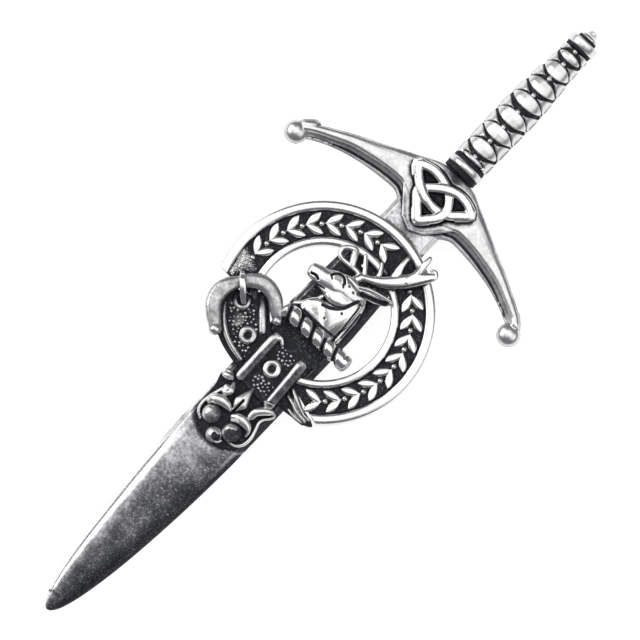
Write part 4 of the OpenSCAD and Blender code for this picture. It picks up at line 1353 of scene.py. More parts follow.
@dataclass
class Circlet:
    """The belt's ring: rounded rims, a sunk stippled floor, leaves and pellets."""

    centre: tuple[float, float] = (-0.4, 0.6)
    radius: float = 14.1
    blade_half: float = 4.6
    blade_top: float = 6.6
    floor_z: float = 6.9
    top_z: float = 7.42
    motif_step: float = 12.8
    motifs: int = 19
    first_motif: float = -52.8
    bare: tuple[float, float] = (52.0, 80.0)
    rings: int = 900
    # The floor's cast roughness: how far it may sink and rise, and the start of its random draws
    rough: tuple[float, float] = (-0.07, 0.05)
    rough_seed: int = 7
    # Middle of the ornament as a share of the radius
    ornament_r: float = 0.793
    leaf_l: float = 2.55
    leaf_w: float = 1.2
    leaf_tilt: float = 34.0
    leaf_apart: float = 0.62
    pellet_r: float = 0.38
    pellet_turn: float = 1.2

    # Section: share of the radius, and height in millimetres
    SECTION = (
        (0.603, 5.50), (0.603, 7.10), (0.606, 7.26), (0.614, 7.36), (0.628, 7.42), (0.650, 7.42),
        (0.666, 7.38), (0.674, 7.28), (0.678, 7.10), (0.680, 6.92),
    )
    OUTER = (
        (0.906, 6.92), (0.909, 7.10), (0.914, 7.28), (0.924, 7.38), (0.940, 7.42), (0.970, 7.42),
        (0.986, 7.37), (0.995, 7.27), (1.0, 7.10), (1.0, 5.50),
    )
    # Cuts of the two ends below the centre, as shares of the radius, and the slope of the right one
    LEFT_CUT = 0.33
    RIGHT_CUT = (0.2, -0.64)
    RIGHT_SLOPE = 16.0
    # Field of grains at the worn end: places seen
    WORN_END = ((-104, 396), (-84, 397), (-80, 384), (-84, 375), (-98, 373))
    # Where the floor's black starts and is full, as shares of the radius, and above the floor
    BLACK_IN = (0.66, 0.68)
    BLACK_OUT = (0.925, 0.905)
    BLACK_LOW = (0.34, 0.12)

    def ends(self, r: np.ndarray) -> tuple[np.ndarray, np.ndarray]:
        """Angles at which the ring starts and ends at distances from its centre."""
        left = math.pi + np.arcsin(np.clip(self.LEFT_CUT * self.radius / r, -1, 1))
        k = math.tan(math.radians(self.RIGHT_SLOPE))
        level = (self.RIGHT_CUT[1] + k * self.RIGHT_CUT[0]) * self.radius
        right = np.arcsin(np.clip(level / (r * math.hypot(1, k)), -1, 1)) - math.atan(k)
        return right, left

    def ring(self, bench: Bench) -> Object:
        """Sweeps the section round."""
        inner, outer = np.array(self.SECTION), np.array(self.OUTER)
        across = np.linspace(inner[-1, 0], outer[0, 0], 30)[1:-1]
        middle = np.stack([across, np.full(len(across), self.floor_z)], 1)
        section = np.vstack([inner, middle, outer])
        r = section[:, 0] * self.radius
        right, left = self.ends(r)
        rng = np.random.default_rng(self.rough_seed)
        rings = []
        for t in np.linspace(0, 1, self.rings):
            a = right + (left - right) * t
            x, y = self.centre[0] + r * np.cos(a), self.centre[1] + r * np.sin(a)
            z = section[:, 1].copy()
            floor = np.abs(z - self.floor_z) < 0.01
            z[floor] += rng.uniform(*self.rough, floor.sum())
            low = (z < 6) & (np.abs(x) < self.blade_half)
            z[low] = self.blade_top
            rings.append(np.stack([x, y, z], 1))
        return bench.skin(*closed_skin(np.array(rings)), "ring")

    def leaf(self) -> np.ndarray:
        """Rings of one leaf with a rounded top and a fine rib, its length along X."""
        rise = self.top_z - self.floor_z
        s = np.linspace(-1, 1, 9)
        top = rise * (1 - np.abs(s) ** 4 * 0.55) - 0.05 * np.exp(-((s / 0.16) ** 2))
        rings = []
        for t in np.linspace(0, 1, 13):
            half = max(self.leaf_w / 2 * math.sin(math.pi * t ** 0.85) ** 0.8, 0.01)
            x = np.full(9, self.leaf_l * (t - 0.5))
            rings.append(np.vstack([
                np.stack([x, half * s, top], 1),
                np.stack([x, half * s[::-1], np.full(9, -0.2)], 1),
            ]))
        return np.array(rings)

    def ornament(self, bench: Bench) -> list[Object]:
        """Leaves in pairs with pellets between them, all the way round the floor."""
        middle = self.ornament_r * self.radius
        rings = self.leaf()
        parts = []
        for i in range(self.motifs):
            angle = self.first_motif + self.motif_step * i
            if self.bare[0] < angle < self.bare[1]:
                continue
            turn = math.radians(angle)
            for side in (-1, 1):
                tilt = math.pi / 2 + side * math.radians(self.leaf_tilt)
                c, s = math.cos(tilt), math.sin(tilt)
                x = middle + side * self.leaf_apart + rings[..., 0] * c - rings[..., 1] * s
                y = rings[..., 0] * s + rings[..., 1] * c
                c, s = math.cos(turn), math.sin(turn)
                placed = np.stack([
                    self.centre[0] + x * c - y * s,
                    self.centre[1] + x * s + y * c,
                    rings[..., 2] + self.floor_z,
                ], -1)
                parts.append(bench.skin(*closed_skin(placed), "leaf"))
            a = turn + math.radians(self.motif_step / 2 + self.pellet_turn)
            x, y = self.centre[0] + middle * math.cos(a), self.centre[1] + middle * math.sin(a)
            parts.append(bench.ball(x, y, self.floor_z + 0.08, self.pellet_r))
        return parts

    def build(self, bench: Bench) -> None:
        """Models the ring with its ornament and the grains at its worn end."""
        grains = bench.grains(PICTURE.line(self.WORN_END, 7.0), self.floor_z, 0.22, 0.5, seed=11)
        ring = bench.join([self.ring(bench), *self.ornament(bench), grains])
        bench.set_in_frame(ring, "belt_ring", ("circlet",), Lustre.POLISHED, self.darkening)

    def darkening(self, co: np.ndarray) -> np.ndarray:
        """Blackening of the floor."""
        r = np.hypot(co[:, 0] - self.centre[0], co[:, 1] - self.centre[1]) / self.radius
        floor = soft_step(r, *self.BLACK_IN) * soft_step(r, *self.BLACK_OUT)
        u, v = PICTURE.place_seen(co)
        worn = soft_step(-u, 80, 86) * soft_step(v, 368, 373) * soft_step(v + 0.4 * u, 362, 352)
        floor *= soft_step(co[:, 2] - self.floor_z, *self.BLACK_LOW) * (0.92 - 0.75 * worn)
        return np.maximum(floor, 0.9 * (np.abs(u + 63) < 14) * (v < 385))


@dataclass
class Belt:
    """The belt's tail and hanging end, its buckle, tongue and chape."""

    radius: float = 14.1
    ring_y: float = 0.6
    tail_z: float = 7.0
    end_z: float = 7.58
    blade_z: float = 6.58
    voxel: float = 0.085
    tail_voxel: float = 0.1
    prong_voxel: float = 0.06
    chape_voxel: float = 0.075
    # Eyelets: how low and high they reach from their strap, and their radius and hole
    eyelet_z: tuple[float, float] = (-0.2, 0.42)
    tail_eyelet: tuple[float, float] = (1.2, 0.42)
    end_eyelet: tuple[float, float] = (1.22, 0.45)
    # Grains: their height over the strap, their radius and spacing, and how clear of an eyelet
    grain_z: float = 0.05
    tail_grain: tuple[float, float] = (0.2, 0.42)
    end_grain: tuple[float, float] = (0.19, 0.43)
    clear: float = 1.3
    buckle_tarnish: float = 0.47
    # How high over its strap the black of a floor ends and is full
    floor_black: tuple[float, float] = (0.15, 0.03)
    # How black the chape's balls are, and how far that reaches as a share of their radius; the black is set
    # off to one side of each ball as painted shade, leaving the other side bright
    ball_soot_and_shade: tuple[tuple[float, float], ...] = ((0.58, 1.0), (0.66, 1.0), (0.75, 0.62))

    # Outline of the tail and its fold, as shares of the ring's radius about its centre
    TAIL = (
        (-0.86, -0.37), (-0.79, -0.53), (-0.71, -0.66), (-0.57, -0.78), (-0.40, -0.84), (-0.22, -0.87),
        (0.00, -0.88), (0.22, -0.88), (0.42, -0.86), (0.54, -0.84), (0.60, -0.80), (0.54, -0.77),
        (0.42, -0.74), (0.24, -0.69), (0.08, -0.62), (-0.16, -0.48), (-0.29, -0.40), (-0.41, -0.28),
        (-0.46, -0.22), (-0.535, -0.22), (-0.60, -0.30), (-0.64, -0.36),
    )
    # Strands as (u, v, height, half width, half height)
    TAIL_RIBS = (
        (
            (-82, 346, 7.0, 2.6, 0.4), (-76, 338, 7.05, 3, 0.5), (-68, 330, 7.05, 3, 0.5),
            (-56, 322.5, 7.05, 3, 0.5), (-45, 318.5, 7.05, 3, 0.5), (-31, 315.5, 7.0, 2.6, 0.4),
        ),
        (
            (-58, 376, 6.9, 4, 0.4), (-50, 367, 6.95, 4.4, 0.44), (-42, 358.5, 6.95, 4.4, 0.44),
            (-34, 350, 6.9, 4, 0.4),
        ),
        (
            (27, 329, 7.0, 2.4, 0.4), (36, 325, 7.1, 3, 0.5), (46, 320, 7.1, 2.8, 0.5),
            (54, 317.5, 7.0, 2.2, 0.4), (61, 318, 6.9, 1.6, 0.3),
        ),
        (
            (28, 321, 6.9, 2, 0.35), (37, 318.5, 7.0, 2.4, 0.45), (46, 315, 7.0, 2.4, 0.45),
            (58, 313.5, 6.9, 2, 0.35),
        ),
        ((38, 311.5, 6.8, 1.8, 0.35), (47, 310, 6.85, 2, 0.4), (58, 310.5, 6.8, 1.6, 0.3)),
    )
    TAIL_EYELETS = ((-43, 338), (-71, 359))
    TAIL_FIELD = ((-78, 352), (-60, 365), (-36, 345), (-30, 320), (-48, 324), (-70, 338))
    # Corners of the hanging end, its two raised borders, the turned top and its hook
    END = ((-25, 300), (26, 298), (24, 355), (33.5, 363), (30, 367), (-8, 367), (-24, 358))
    END_RIBS = (
        (
            (-20, 302.5, 7.8, 4.6, 0.42), (-20.5, 312, 7.95, 4.9, 0.5), (-21, 330, 7.95, 5, 0.5),
            (-21.5, 350, 7.95, 5, 0.5), (-20.5, 357, 7.9, 4.4, 0.42),
        ),
        (
            (20.3, 300, 7.8, 5, 0.42), (19.5, 312, 7.95, 5.3, 0.5), (18.5, 330, 7.95, 5.4, 0.5),
            (17.0, 349, 7.95, 5.6, 0.5), (16.5, 354, 7.9, 5, 0.42),
        ),
        ((-21, 357, 7.8, 3, 0.4), (-16, 358, 7.85, 2.6, 0.42), (-11.5, 354.5, 7.8, 2.2, 0.36)),
        ((15, 301, 7.85, 1.4, 0.5), (20, 303, 7.95, 1.6, 0.5), (24, 304.5, 7.9, 1.2, 0.42)),
    )
    END_EYELET = (-2.3, 330)
    # Fields of grains: places seen and the start of their random draws
    END_FIELDS = (
        (((-9, 341), (9, 341), (9, 352), (-9, 353)), 3),
        (((-9, 306), (12, 306), (12, 318), (-9, 317)), 4),
    )
    # Painted shade on the right facets of the borders
    BORDER_SHADE = (
        (((-17.5, 304), (-18.5, 330), (-18.5, 352)), 4.2, 0.58),
        (((21.5, 304), (20.5, 330), (19.5, 350)), 4.6, 0.6),
    )
    BUCKLE = (
        (-72, 321, 8.10, 6.2, 0.60), (-82, 329.5, 8.15, 7.6, 0.66), (-91, 339, 8.2, 8.4, 0.70),
        (-94, 350, 8.2, 8.6, 0.70), (-92.5, 360, 8.15, 8.2, 0.66), (-86.5, 370, 8.05, 6.4, 0.50),
        (-79, 379, 8.15, 7.4, 0.62), (-70, 385.5, 8.2, 8.2, 0.70), (-60, 387.0, 8.2, 8.2, 0.70),
        (-50, 384, 8.2, 7.6, 0.66), (-42, 378, 8.1, 7.2, 0.62), (-35.5, 372.5, 8.0, 6.2, 0.54),
    )
    BUCKLE_BALLS = ((-71, 320, 8.1, 6.6), (-31.5, 368.5, 8.0, 5.4))
    PRONG = (
        (-90, 380, 8.4, 2.6, 0.25), (-86, 376, 8.95, 3.4, 0.3), (-80, 370, 9.0, 3.4, 0.3),
        (-74, 364, 8.7, 3.3, 0.3), (-68.5, 359, 8.1, 2.6, 0.25),
    )

    CHAPE_BACK = (
        (-27, 301), (-37, 296), (-33, 281), (-31, 262), (-26, 248), (-12, 237), (13, 236), (26, 247),
        (32, 262), (29, 281), (34, 298), (24, 302),
    )
    CHAPE_STRANDS = (
        (
            (-36, 293, 7.4, 1.6, 0.35), (-34.5, 297.5, 7.5, 2.0, 0.45), (-29.5, 299.5, 7.5, 1.8, 0.4),
            (-24, 298, 7.4, 1.4, 0.3),
        ),
        ((-32, 294, 7.7, 3.0, 0.45), (-28.5, 295.8, 7.85, 3.2, 0.5), (-24.5, 296, 7.6, 2.4, 0.4)),
        (
            (-19.5, 293, 7.5, 2.2, 0.4), (-17, 288, 7.8, 3.4, 0.5), (-16.5, 284, 7.8, 3.2, 0.5),
            (-20.5, 281, 7.7, 3.4, 0.48), (-22.5, 286, 7.7, 3.2, 0.48),
        ),
        (
            (-23, 284, 7.5, 2.4, 0.4), (-25.5, 277, 7.4, 2.0, 0.4), (-28, 268, 7.3, 1.8, 0.4),
            (-29.3, 258, 7.3, 1.6, 0.4), (-27, 250, 7.2, 1.6, 0.36), (-20, 245, 7.1, 1.4, 0.3),
        ),
        (
            (15.5, 281, 7.7, 4.2, 0.46), (16, 287, 7.85, 4.4, 0.5), (20.5, 293, 7.9, 4.4, 0.5),
            (26, 297.2, 7.85, 3.8, 0.48), (30, 298.3, 7.7, 2.2, 0.4), (32.3, 295.5, 7.5, 1.4, 0.35),
            (30.5, 292, 7.4, 1.3, 0.3),
        ),
        (
            (31, 292, 7.35, 1.2, 0.3), (27, 287.5, 7.4, 1.5, 0.36), (25.6, 281.5, 7.4, 1.6, 0.38),
            (28, 273, 7.3, 1.8, 0.4), (30.3, 264, 7.3, 1.9, 0.4), (29, 254.5, 7.25, 1.8, 0.38),
            (23, 248.3, 7.2, 1.6, 0.35), (15, 246.5, 7.1, 1.3, 0.3),
        ),
        (
            (-25.5, 263, 7.5, 2.0, 0.35), (-23.8, 268.5, 7.9, 4.8, 0.45), (-17.5, 272.8, 8.0, 5.6, 0.5),
            (-10.5, 273.2, 7.95, 4.6, 0.45), (-4, 271.5, 7.7, 2.0, 0.35),
        ),
        (
            (2, 268.5, 7.7, 2.6, 0.4), (6.5, 271.5, 7.95, 4.4, 0.45), (13, 272.6, 8.0, 5.4, 0.48),
            (19.5, 271.3, 7.95, 4.2, 0.42), (24, 268, 7.8, 2.0, 0.38), (25.2, 263, 7.5, 1.3, 0.3),
        ),
        ((3.5, 265, 7.8, 1.2, 0.36), (7.5, 267.3, 8.0, 1.4, 0.4), (12, 268.8, 8.0, 1.2, 0.36)),
        ((-31, 294.5, 7.7, 3.6, 0.5), (-28, 295.2, 7.8, 3.8, 0.5), (-26.5, 295.8, 7.7, 3.2, 0.45)),
        ((10.5, 243, 7.5, 1.2, 0.35), (8.5, 239, 7.4, 1.4, 0.4), (3.5, 237, 7.3, 1.3, 0.35)),
    )
    LEAF = (
        (-2, 304, 7.3, 0.6, 0.3), (-1.8, 299, 7.6, 2.6, 0.5), (-1.7, 293, 7.85, 4.8, 0.5),
        (-1.5, 287, 7.95, 7.0, 0.52), (-1.4, 283, 7.95, 7.6, 0.52), (-1.3, 279, 7.85, 5.8, 0.5),
        (-1, 275, 7.6, 3.0, 0.45), (-1, 272, 7.4, 1.4, 0.3),
    )
    LEAF_SLIT = ((-0.8, 287), (-1, 271))
    # Balls: place seen, height, radius across and half height
    CHAPE_BALLS = (
        (-15.5, 257, 7.2, 10.2, 1.05), (12, 256.5, 7.2, 10.6, 1.05), (0.5, 243.3, 7.1, 8.8, 0.95),
    )

    # Painted highlights on the balls, where their black is taken off: places seen, half width and how bare
    GLINTS = (
        (((-24, 254), (-22.5, 260)), 4.4, 0.9),
        (((2.8, 254), (4.6, 257.5)), 2.4, 1.0),
        (((7, 260), (9, 260.6)), 2.0, 1.0),
        (((10.5, 262), (12.5, 262)), 1.8, 1.0),
        (((-8, 246), (-6, 244)), 2.6, 1.0),
        (((-3, 248), (3, 247.5)), 1.8, 1.0),
    )

    def share(self, places: Rows) -> np.ndarray:
        """Places from shares of the ring's radius."""
        return np.array(places) * self.radius + np.array([0, self.ring_y])

    def tail(self, bench: Bench) -> None:
        """Models the tail, its ribs, eyelets and grains."""
        outline = smooth_path(self.share(self.TAIL), 4, closed=True)
        parts = [bench.slab(outline, 5.5, self.tail_z, 0.12)]
        parts += [bench.strand(PICTURE.strand(rows)) for rows in self.TAIL_RIBS]
        holes = PICTURE.line(self.TAIL_EYELETS, 7.4)
        low, high = (self.tail_z + z for z in self.eyelet_z)
        parts += [bench.eyelet(x, y, low, high, *self.tail_eyelet) for x, y in holes]
        tail = bench.fuse(parts, self.tail_voxel, 2)
        field = PICTURE.line(self.TAIL_FIELD, 7.05)
        keep_off = [(x, y, self.clear) for x, y in holes]
        grains = bench.grains(field, self.tail_z + self.grain_z, *self.tail_grain, 5, keep_off)
        tail = bench.join([tail, grains])
        bench.set_in_frame(tail, "belt_tail_cast", ("belt_tail",), Lustre.BLACKENED, self.soot_tail)

    def hanging_end(self, bench: Bench) -> None:
        """Models the hanging end with its borders, eyelet, turned top and grains."""
        parts = [bench.slab(PICTURE.line(self.END, 7.4), 7.08, self.end_z, 0.08)]
        parts += [bench.strand(PICTURE.strand(rows), square=0.75) for rows in self.END_RIBS]
        x, y = PICTURE.seen(*self.END_EYELET, 7.8)
        low, high = (self.end_z + z for z in self.eyelet_z)
        parts.append(bench.eyelet(x, y, low, high, *self.end_eyelet))
        end = [bench.fuse(parts, self.voxel)]
        level, keep_off = self.end_z + self.grain_z, ((x, y, self.clear),)
        for places, seed in self.END_FIELDS:
            field = PICTURE.line(places, 7.6)
            end.append(bench.grains(field, level, *self.end_grain, seed, keep_off))
        end = bench.join(end)
        bench.set_in_frame(end, "belt_end_cast", ("belt_end",), Lustre.ANTIQUED, self.soot_and_shade_end)

    def buckle(self, bench: Bench) -> None:
        """Models the buckle's frame and its tongue."""
        parts = [bench.strand(PICTURE.strand(self.BUCKLE), steps=8, sides=28, square=0.85)]
        for u, v, z, r in self.BUCKLE_BALLS:
            parts.append(bench.ball(*PICTURE.seen(u, v, z), z, r * PICTURE.step, 0.95))
        frame_cast = bench.fuse(parts, self.voxel)
        bench.set_in_frame(frame_cast, "buckle_cast", ("buckle",), Lustre.POLISHED, self.soot_buckle)
        tongue = bench.strand(PICTURE.strand(self.PRONG), square=0.6)
        prong = bench.fuse([tongue], self.prong_voxel, 2)
        bench.set_in_frame(prong, "buckle_tongue", ("prong",), Lustre.POLISHED)

    def chape(self, bench: Bench) -> None:
        """Models the chape: leaf, scrolls, hoods and balls on a backing."""
        back = smooth_path(PICTURE.line(self.CHAPE_BACK, 7.0), 5, closed=True)
        parts = [bench.slab(back, self.blade_z, 7.0, 0.1)]
        parts += [bench.strand(PICTURE.strand(rows)) for rows in self.CHAPE_STRANDS]
        parts.append(bench.strand(PICTURE.strand(self.LEAF), square=1.05))
        for u, v, z, r, h in self.CHAPE_BALLS:
            r *= PICTURE.step
            parts.append(bench.ball(*PICTURE.seen(u, v, z + 0.6), z, r, h / r))
        chape = bench.fuse(parts, self.chape_voxel, 2)
        bench.carve(chape, PICTURE.line(self.LEAF_SLIT, 7.9), 0.22, 0.7, 7.2)
        bench.set_in_frame(chape, "chape_cast", ("chape",), Lustre.ANTIQUED, self.soot_and_painted_light_chape)

    def soot_buckle(self, co: np.ndarray) -> np.ndarray:
        """Even tarnish of the buckle."""
        return np.full(len(co), self.buckle_tarnish)

    def soot_tail(self, co: np.ndarray) -> np.ndarray:
        """Blackening of the tail's floor and sides."""
        u, v = PICTURE.place_seen(co)
        worn = soft_step(np.hypot((u + 63) / 10, (v - 343) / 8), 1.1, 0.7)
        low = soft_step(co[:, 2] - self.tail_z, *self.floor_black)
        return 0.9 * low * (1 - 0.95 * worn)

    def soot_and_shade_end(self, co: np.ndarray) -> np.ndarray:
        """Blackening of the hanging end's floor, and painted shade on the right facets of its borders."""
        low = 0.9 * soft_step(co[:, 2] - self.end_z, *self.floor_black)
        return np.maximum(low, PICTURE.smudge(co, self.BORDER_SHADE))

    def soot_and_painted_light_chape(self, co: np.ndarray) -> np.ndarray:
        """Blackening of the chape's floor and of its balls, the balls' black set off to one side as painted
        shade and taken off at painted highlights.
        """
        out = soft_step(co[:, 2], 7.3, 7.02)
        for (u, v, z, r, _), (black, reach) in zip(self.CHAPE_BALLS, self.ball_soot_and_shade):
            # The black is set off to one side of each ball, leaving the other side bright as painted light
            x, y = PICTURE.seen(u + 4 - 2 * reach, v - 0.5, z + 0.6)
            d = np.hypot(co[:, 0] - x, co[:, 1] - y) / (r * PICTURE.step)
            out = np.maximum(out, black * soft_step(d / reach, 1.05, 0.72))
        # Painted highlights on the balls
        return out * (1 - PICTURE.smudge(co, self.GLINTS))

    def build(self, bench: Bench) -> None:
        """Models the belt's pieces."""
        self.tail(bench)
        self.hanging_end(bench)
        self.buckle(bench)
        self.chape(bench)


@dataclass
class Crest:
    """The twisted wreath and the stag's head with its antlers."""

    wreath_u: tuple[float, float] = (-37, 52)
    wreath_v: float = 383.5
    wreath_z: float = 7.93
    wreath_r: float = 1.14
    groove_spacing: float = 15.3
    first_groove: float = -28.3
    grooves: float = 4.6
    groove_depth: float = 0.4
    voxel: float = 0.07
    # Lines and pits are pressed only into what lies higher than this
    line_floor: float = 7.4
    pit: tuple[float, float] = (0.16, 0.22)
    wreath_grid: tuple[int, int] = (300, 64)

    # Strands as (u, v, height, half width, half height)
    NECK = (
        (-3, 390, 7.2, 26, 0.75), (-1, 396, 7.4, 25.5, 1.0), (3, 402, 7.6, 21.5, 1.15),
        (7, 409, 7.75, 18, 1.2), (12, 417, 7.85, 13.5, 1.2), (15.5, 427, 7.9, 9, 1.1),
        (17, 436, 7.85, 6, 0.9), (17, 441, 7.7, 3.5, 0.6),
    )
    CREST_OF_NECK = (
        (25, 394, 7.4, 3, 0.7), (24.5, 405, 7.5, 3, 0.75), (24, 416, 7.6, 3.2, 0.8),
        (22.5, 427, 7.7, 3.2, 0.8), (20, 437, 7.7, 3, 0.7),
    )
    FACE = (
        (-41, 430.3, 8.15, 7.6, 0.64), (-35, 431, 8.25, 9.1, 0.8), (-26, 432.5, 8.35, 9.6, 0.92),
        (-16, 436.2, 8.5, 12, 1.0), (-6, 437.5, 8.5, 12, 1.0), (4, 438.5, 8.3, 10.4, 0.95),
        (11, 441, 8.1, 7.2, 0.75), (15, 443.5, 8.0, 4, 0.5),
    )
    JAW = (
        (-38, 425.5, 7.9, 3.4, 0.4), (-28, 426.5, 8.1, 4.6, 0.6), (-18, 426, 8.28, 6, 0.85),
        (-8, 425.5, 8.42, 7.8, 1.0), (0, 428, 8.42, 8.2, 1.0), (7, 435, 8.2, 6, 0.8),
        (11, 440, 7.95, 4, 0.5),
    )
    TUFT = (
        (-12, 424, 7.5, 2.4, 0.5), (-14.5, 418, 7.6, 3.0, 0.6), (-17.5, 411, 7.5, 2.4, 0.5),
        (-21, 404, 7.4, 2.4, 0.5), (-27, 397, 7.2, 2.6, 0.45), (-31, 393, 7.0, 2, 0.35),
    )
    FOREHEAD = (
        (-15, 446, 8.6, 3.0, 0.5), (-8, 448.5, 8.7, 3.2, 0.5), (0, 448, 8.6, 3.4, 0.5),
        (5, 447, 8.4, 3, 0.45),
    )
    EAR = (
        (3, 446, 8.3, 3, 0.35), (9, 448, 8.4, 4.8, 0.42), (18, 451, 8.35, 6.3, 0.45),
        (28, 454.5, 8.2, 6.2, 0.42), (35, 457, 8.1, 4.4, 0.36), (39.5, 459.5, 8.0, 1.6, 0.25),
    )
    EAR_RIDGE = (
        (5, 449.5, 8.75, 1.4, 0.2), (13, 454, 8.8, 1.9, 0.26), (23, 457.2, 8.72, 2.0, 0.26),
        (33, 459.6, 8.55, 1.8, 0.24), (39, 460.3, 8.35, 1.2, 0.2),
    )
    ROOT = (
        (-6, 448, 8.2, 4, 0.5), (-3, 453, 8.1, 4.2, 0.5), (0, 458, 8.0, 4.6, 0.5), (4, 461, 8.0, 4, 0.45),
    )
    # Each strand of the head and how square its section is
    HEAD = (
        (NECK, 0.7), (CREST_OF_NECK, 1.0), (FACE, 0.75), (JAW, 0.5), (TUFT, 1.0), (FOREHEAD, 1.0),
        (EAR, 0.8), (EAR_RIDGE, 1.0), (ROOT, 1.0),
    )

    ANTLERS = (
        (
            (2, 459, 8.1, 3.2, 0.5), (9, 463, 8.2, 4.4, 0.55), (17, 468, 8.25, 5.6, 0.56),
            (25, 475, 8.25, 6.6, 0.56), (33, 484, 8.2, 7.2, 0.54), (40, 493, 8.15, 7.2, 0.5),
            (46.5, 501, 8.1, 5.8, 0.46), (52, 508, 8.0, 3.8, 0.4),
        ),
        (
            (26, 475, 8.22, 6.5, 0.52), (23.2, 484, 8.15, 5, 0.48), (20.9, 494, 8.1, 3.3, 0.42),
            (20.2, 503, 8.0, 2.2, 0.34),
        ),
        (
            (34.5, 485, 8.25, 5, 0.52), (37, 495, 8.2, 4.8, 0.5), (37, 505, 8.05, 3.8, 0.42),
            (36.6, 513, 8.0, 3.2, 0.38), (36.3, 518, 7.95, 2.6, 0.32),
        ),
        ((36, 488, 8.2, 6, 0.5), (40.5, 496, 8.15, 6, 0.48), (43.5, 501, 8.1, 3.8, 0.4)),
        (
            (50, 503, 8.05, 4, 0.4), (52.5, 508.5, 8.0, 3.2, 0.38), (49.5, 512, 7.95, 2.4, 0.34),
            (45.5, 510.5, 7.9, 1.6, 0.28),
        ),
        (
            (12, 464, 8.2, 3.6, 0.46), (11, 471, 8.15, 3.0, 0.42), (8.4, 477, 8.05, 2.6, 0.38),
            (5, 482, 7.95, 2.0, 0.3),
        ),
        (
            (4, 458, 8.0, 3.2, 0.42), (-1, 463, 8.0, 2.8, 0.4), (-7, 470, 7.95, 2.6, 0.38),
            (-12.5, 476.5, 7.85, 2.0, 0.3),
        ),
        (
            (0, 457.5, 7.95, 2.8, 0.4), (-9, 459, 7.95, 3, 0.38), (-19, 458.6, 7.9, 2.8, 0.38),
            (-28, 458.4, 7.9, 2.6, 0.36), (-33.3, 461.5, 7.88, 2.4, 0.34), (-34, 466.5, 7.85, 2.4, 0.34),
            (-30, 471, 7.85, 2.8, 0.34), (-24, 474, 7.8, 3, 0.32),
        ),
        (
            (-15, 460, 7.95, 3.0, 0.38), (-18, 464.5, 7.92, 3.6, 0.4), (-21, 470, 7.88, 3.6, 0.36),
            (-23, 474.5, 7.8, 3.0, 0.3),
        ),
    )
    ANTLER_DOT = (-7.5, 467, 7.95, 2.2)
    EYE = (-14.6, 440.6, 8.95, 5.0)
    # Pressed lines: places seen, half width and depth in millimetres
    LINES = (
        (((-40, 427.2), (-35, 428.4), (-31, 427.0)), 0.20, 0.42),
        (((-42, 423.4), (-36, 422.4), (-28, 423.0), (-20, 424.5)), 0.16, 0.2),
        (((-24, 439.5), (-21.5, 443.5), (-17, 446), (-12, 445.4), (-8, 441.5)), 0.2, 0.3),
        (((-24, 439), (-21, 437)), 0.14, 0.16),
        (((-9, 440), (-6.5, 438)), 0.14, 0.14),
        (((11, 446), (20, 449), (30, 453), (36, 456.5)), 0.36, 0.36),
        (((20, 396), (20.5, 410), (19.5, 424), (18.5, 434)), 0.14, 0.2),
    )
    # Blackened lines, and painted shade inside the eye, under the jaw, in the throat, along the near
    # antler's lower edge and at the neck's base: places seen, half width in steps and how black
    MARKS = (
        (((-39, 427), (-35, 428), (-31.5, 427)), 1.2, 1.0),
        (((-43, 424), (-38, 422), (-31, 422.5), (-24, 423)), 1.4, 0.7),
        (((-24, 439), (-21.5, 443), (-17, 445.6), (-12, 445), (-8, 441)), 1.6, 1.0),
        # Painted shade inside the eye
        (((-20, 440.5), (-15, 442), (-11, 441)), 2.6, 0.5),
        (((-23.5, 438.5), (-21, 437)), 1.2, 0.7),
        (((-8.5, 439.5), (-6.5, 438)), 1.1, 0.5),
        (((9, 444.5), (18, 447.5), (27, 451), (34, 455)), 3.2, 0.7),
        # Painted shade under the jaw
        (((-30, 421.5), (-17, 422)), 2.0, 0.6),
        # Painted shadow in the throat, between jaw and neck
        (((-10, 411.5), (-3, 414), (4, 419), (8.5, 425), (11, 432), (13.5, 438)), 2.0, 0.95),
        (((28, 446), (36, 452)), 2.5, 0.8),
        # Painted shade along the near antler's lower edge
        (((13, 460), (27, 470), (38.5, 483), (48.5, 498.5), (53, 505)), 1.7, 0.7),
        # Painted shade at the neck's base
        (((-20, 394.5), (0, 394.5), (22, 396)), 1.8, 0.8),
        (((-14, 461), (-19, 468), (-22, 474)), 4.0, 0.42),
        (((17, 437), (20.5, 425), (21.5, 410), (22, 399)), 1.4, 0.8),
        (((24, 430), (25.5, 415), (26, 400)), 1.4, 0.8),
    )
    PITS = ((0.5, 403), (10, 418), (4, 441), (-3, 443))

    @property
    def last_groove(self) -> float:
        """Where the twist ends, in steps."""
        return self.first_groove + self.grooves * self.groove_spacing

    def from_groove(self, u: np.ndarray | float, around: np.ndarray) -> np.ndarray:
        """How far places of the wreath lie from the nearest groove.

        Args:
            u: Places along the wreath, in steps.
            around: Angles round it.

        Returns:
            The distances, as shares of the space between two grooves.
        """
        lean = self.groove_spacing * (around / TURN - 0.25)
        place = (u - self.first_groove - lean) / self.groove_spacing
        return np.abs(place - np.round(place))

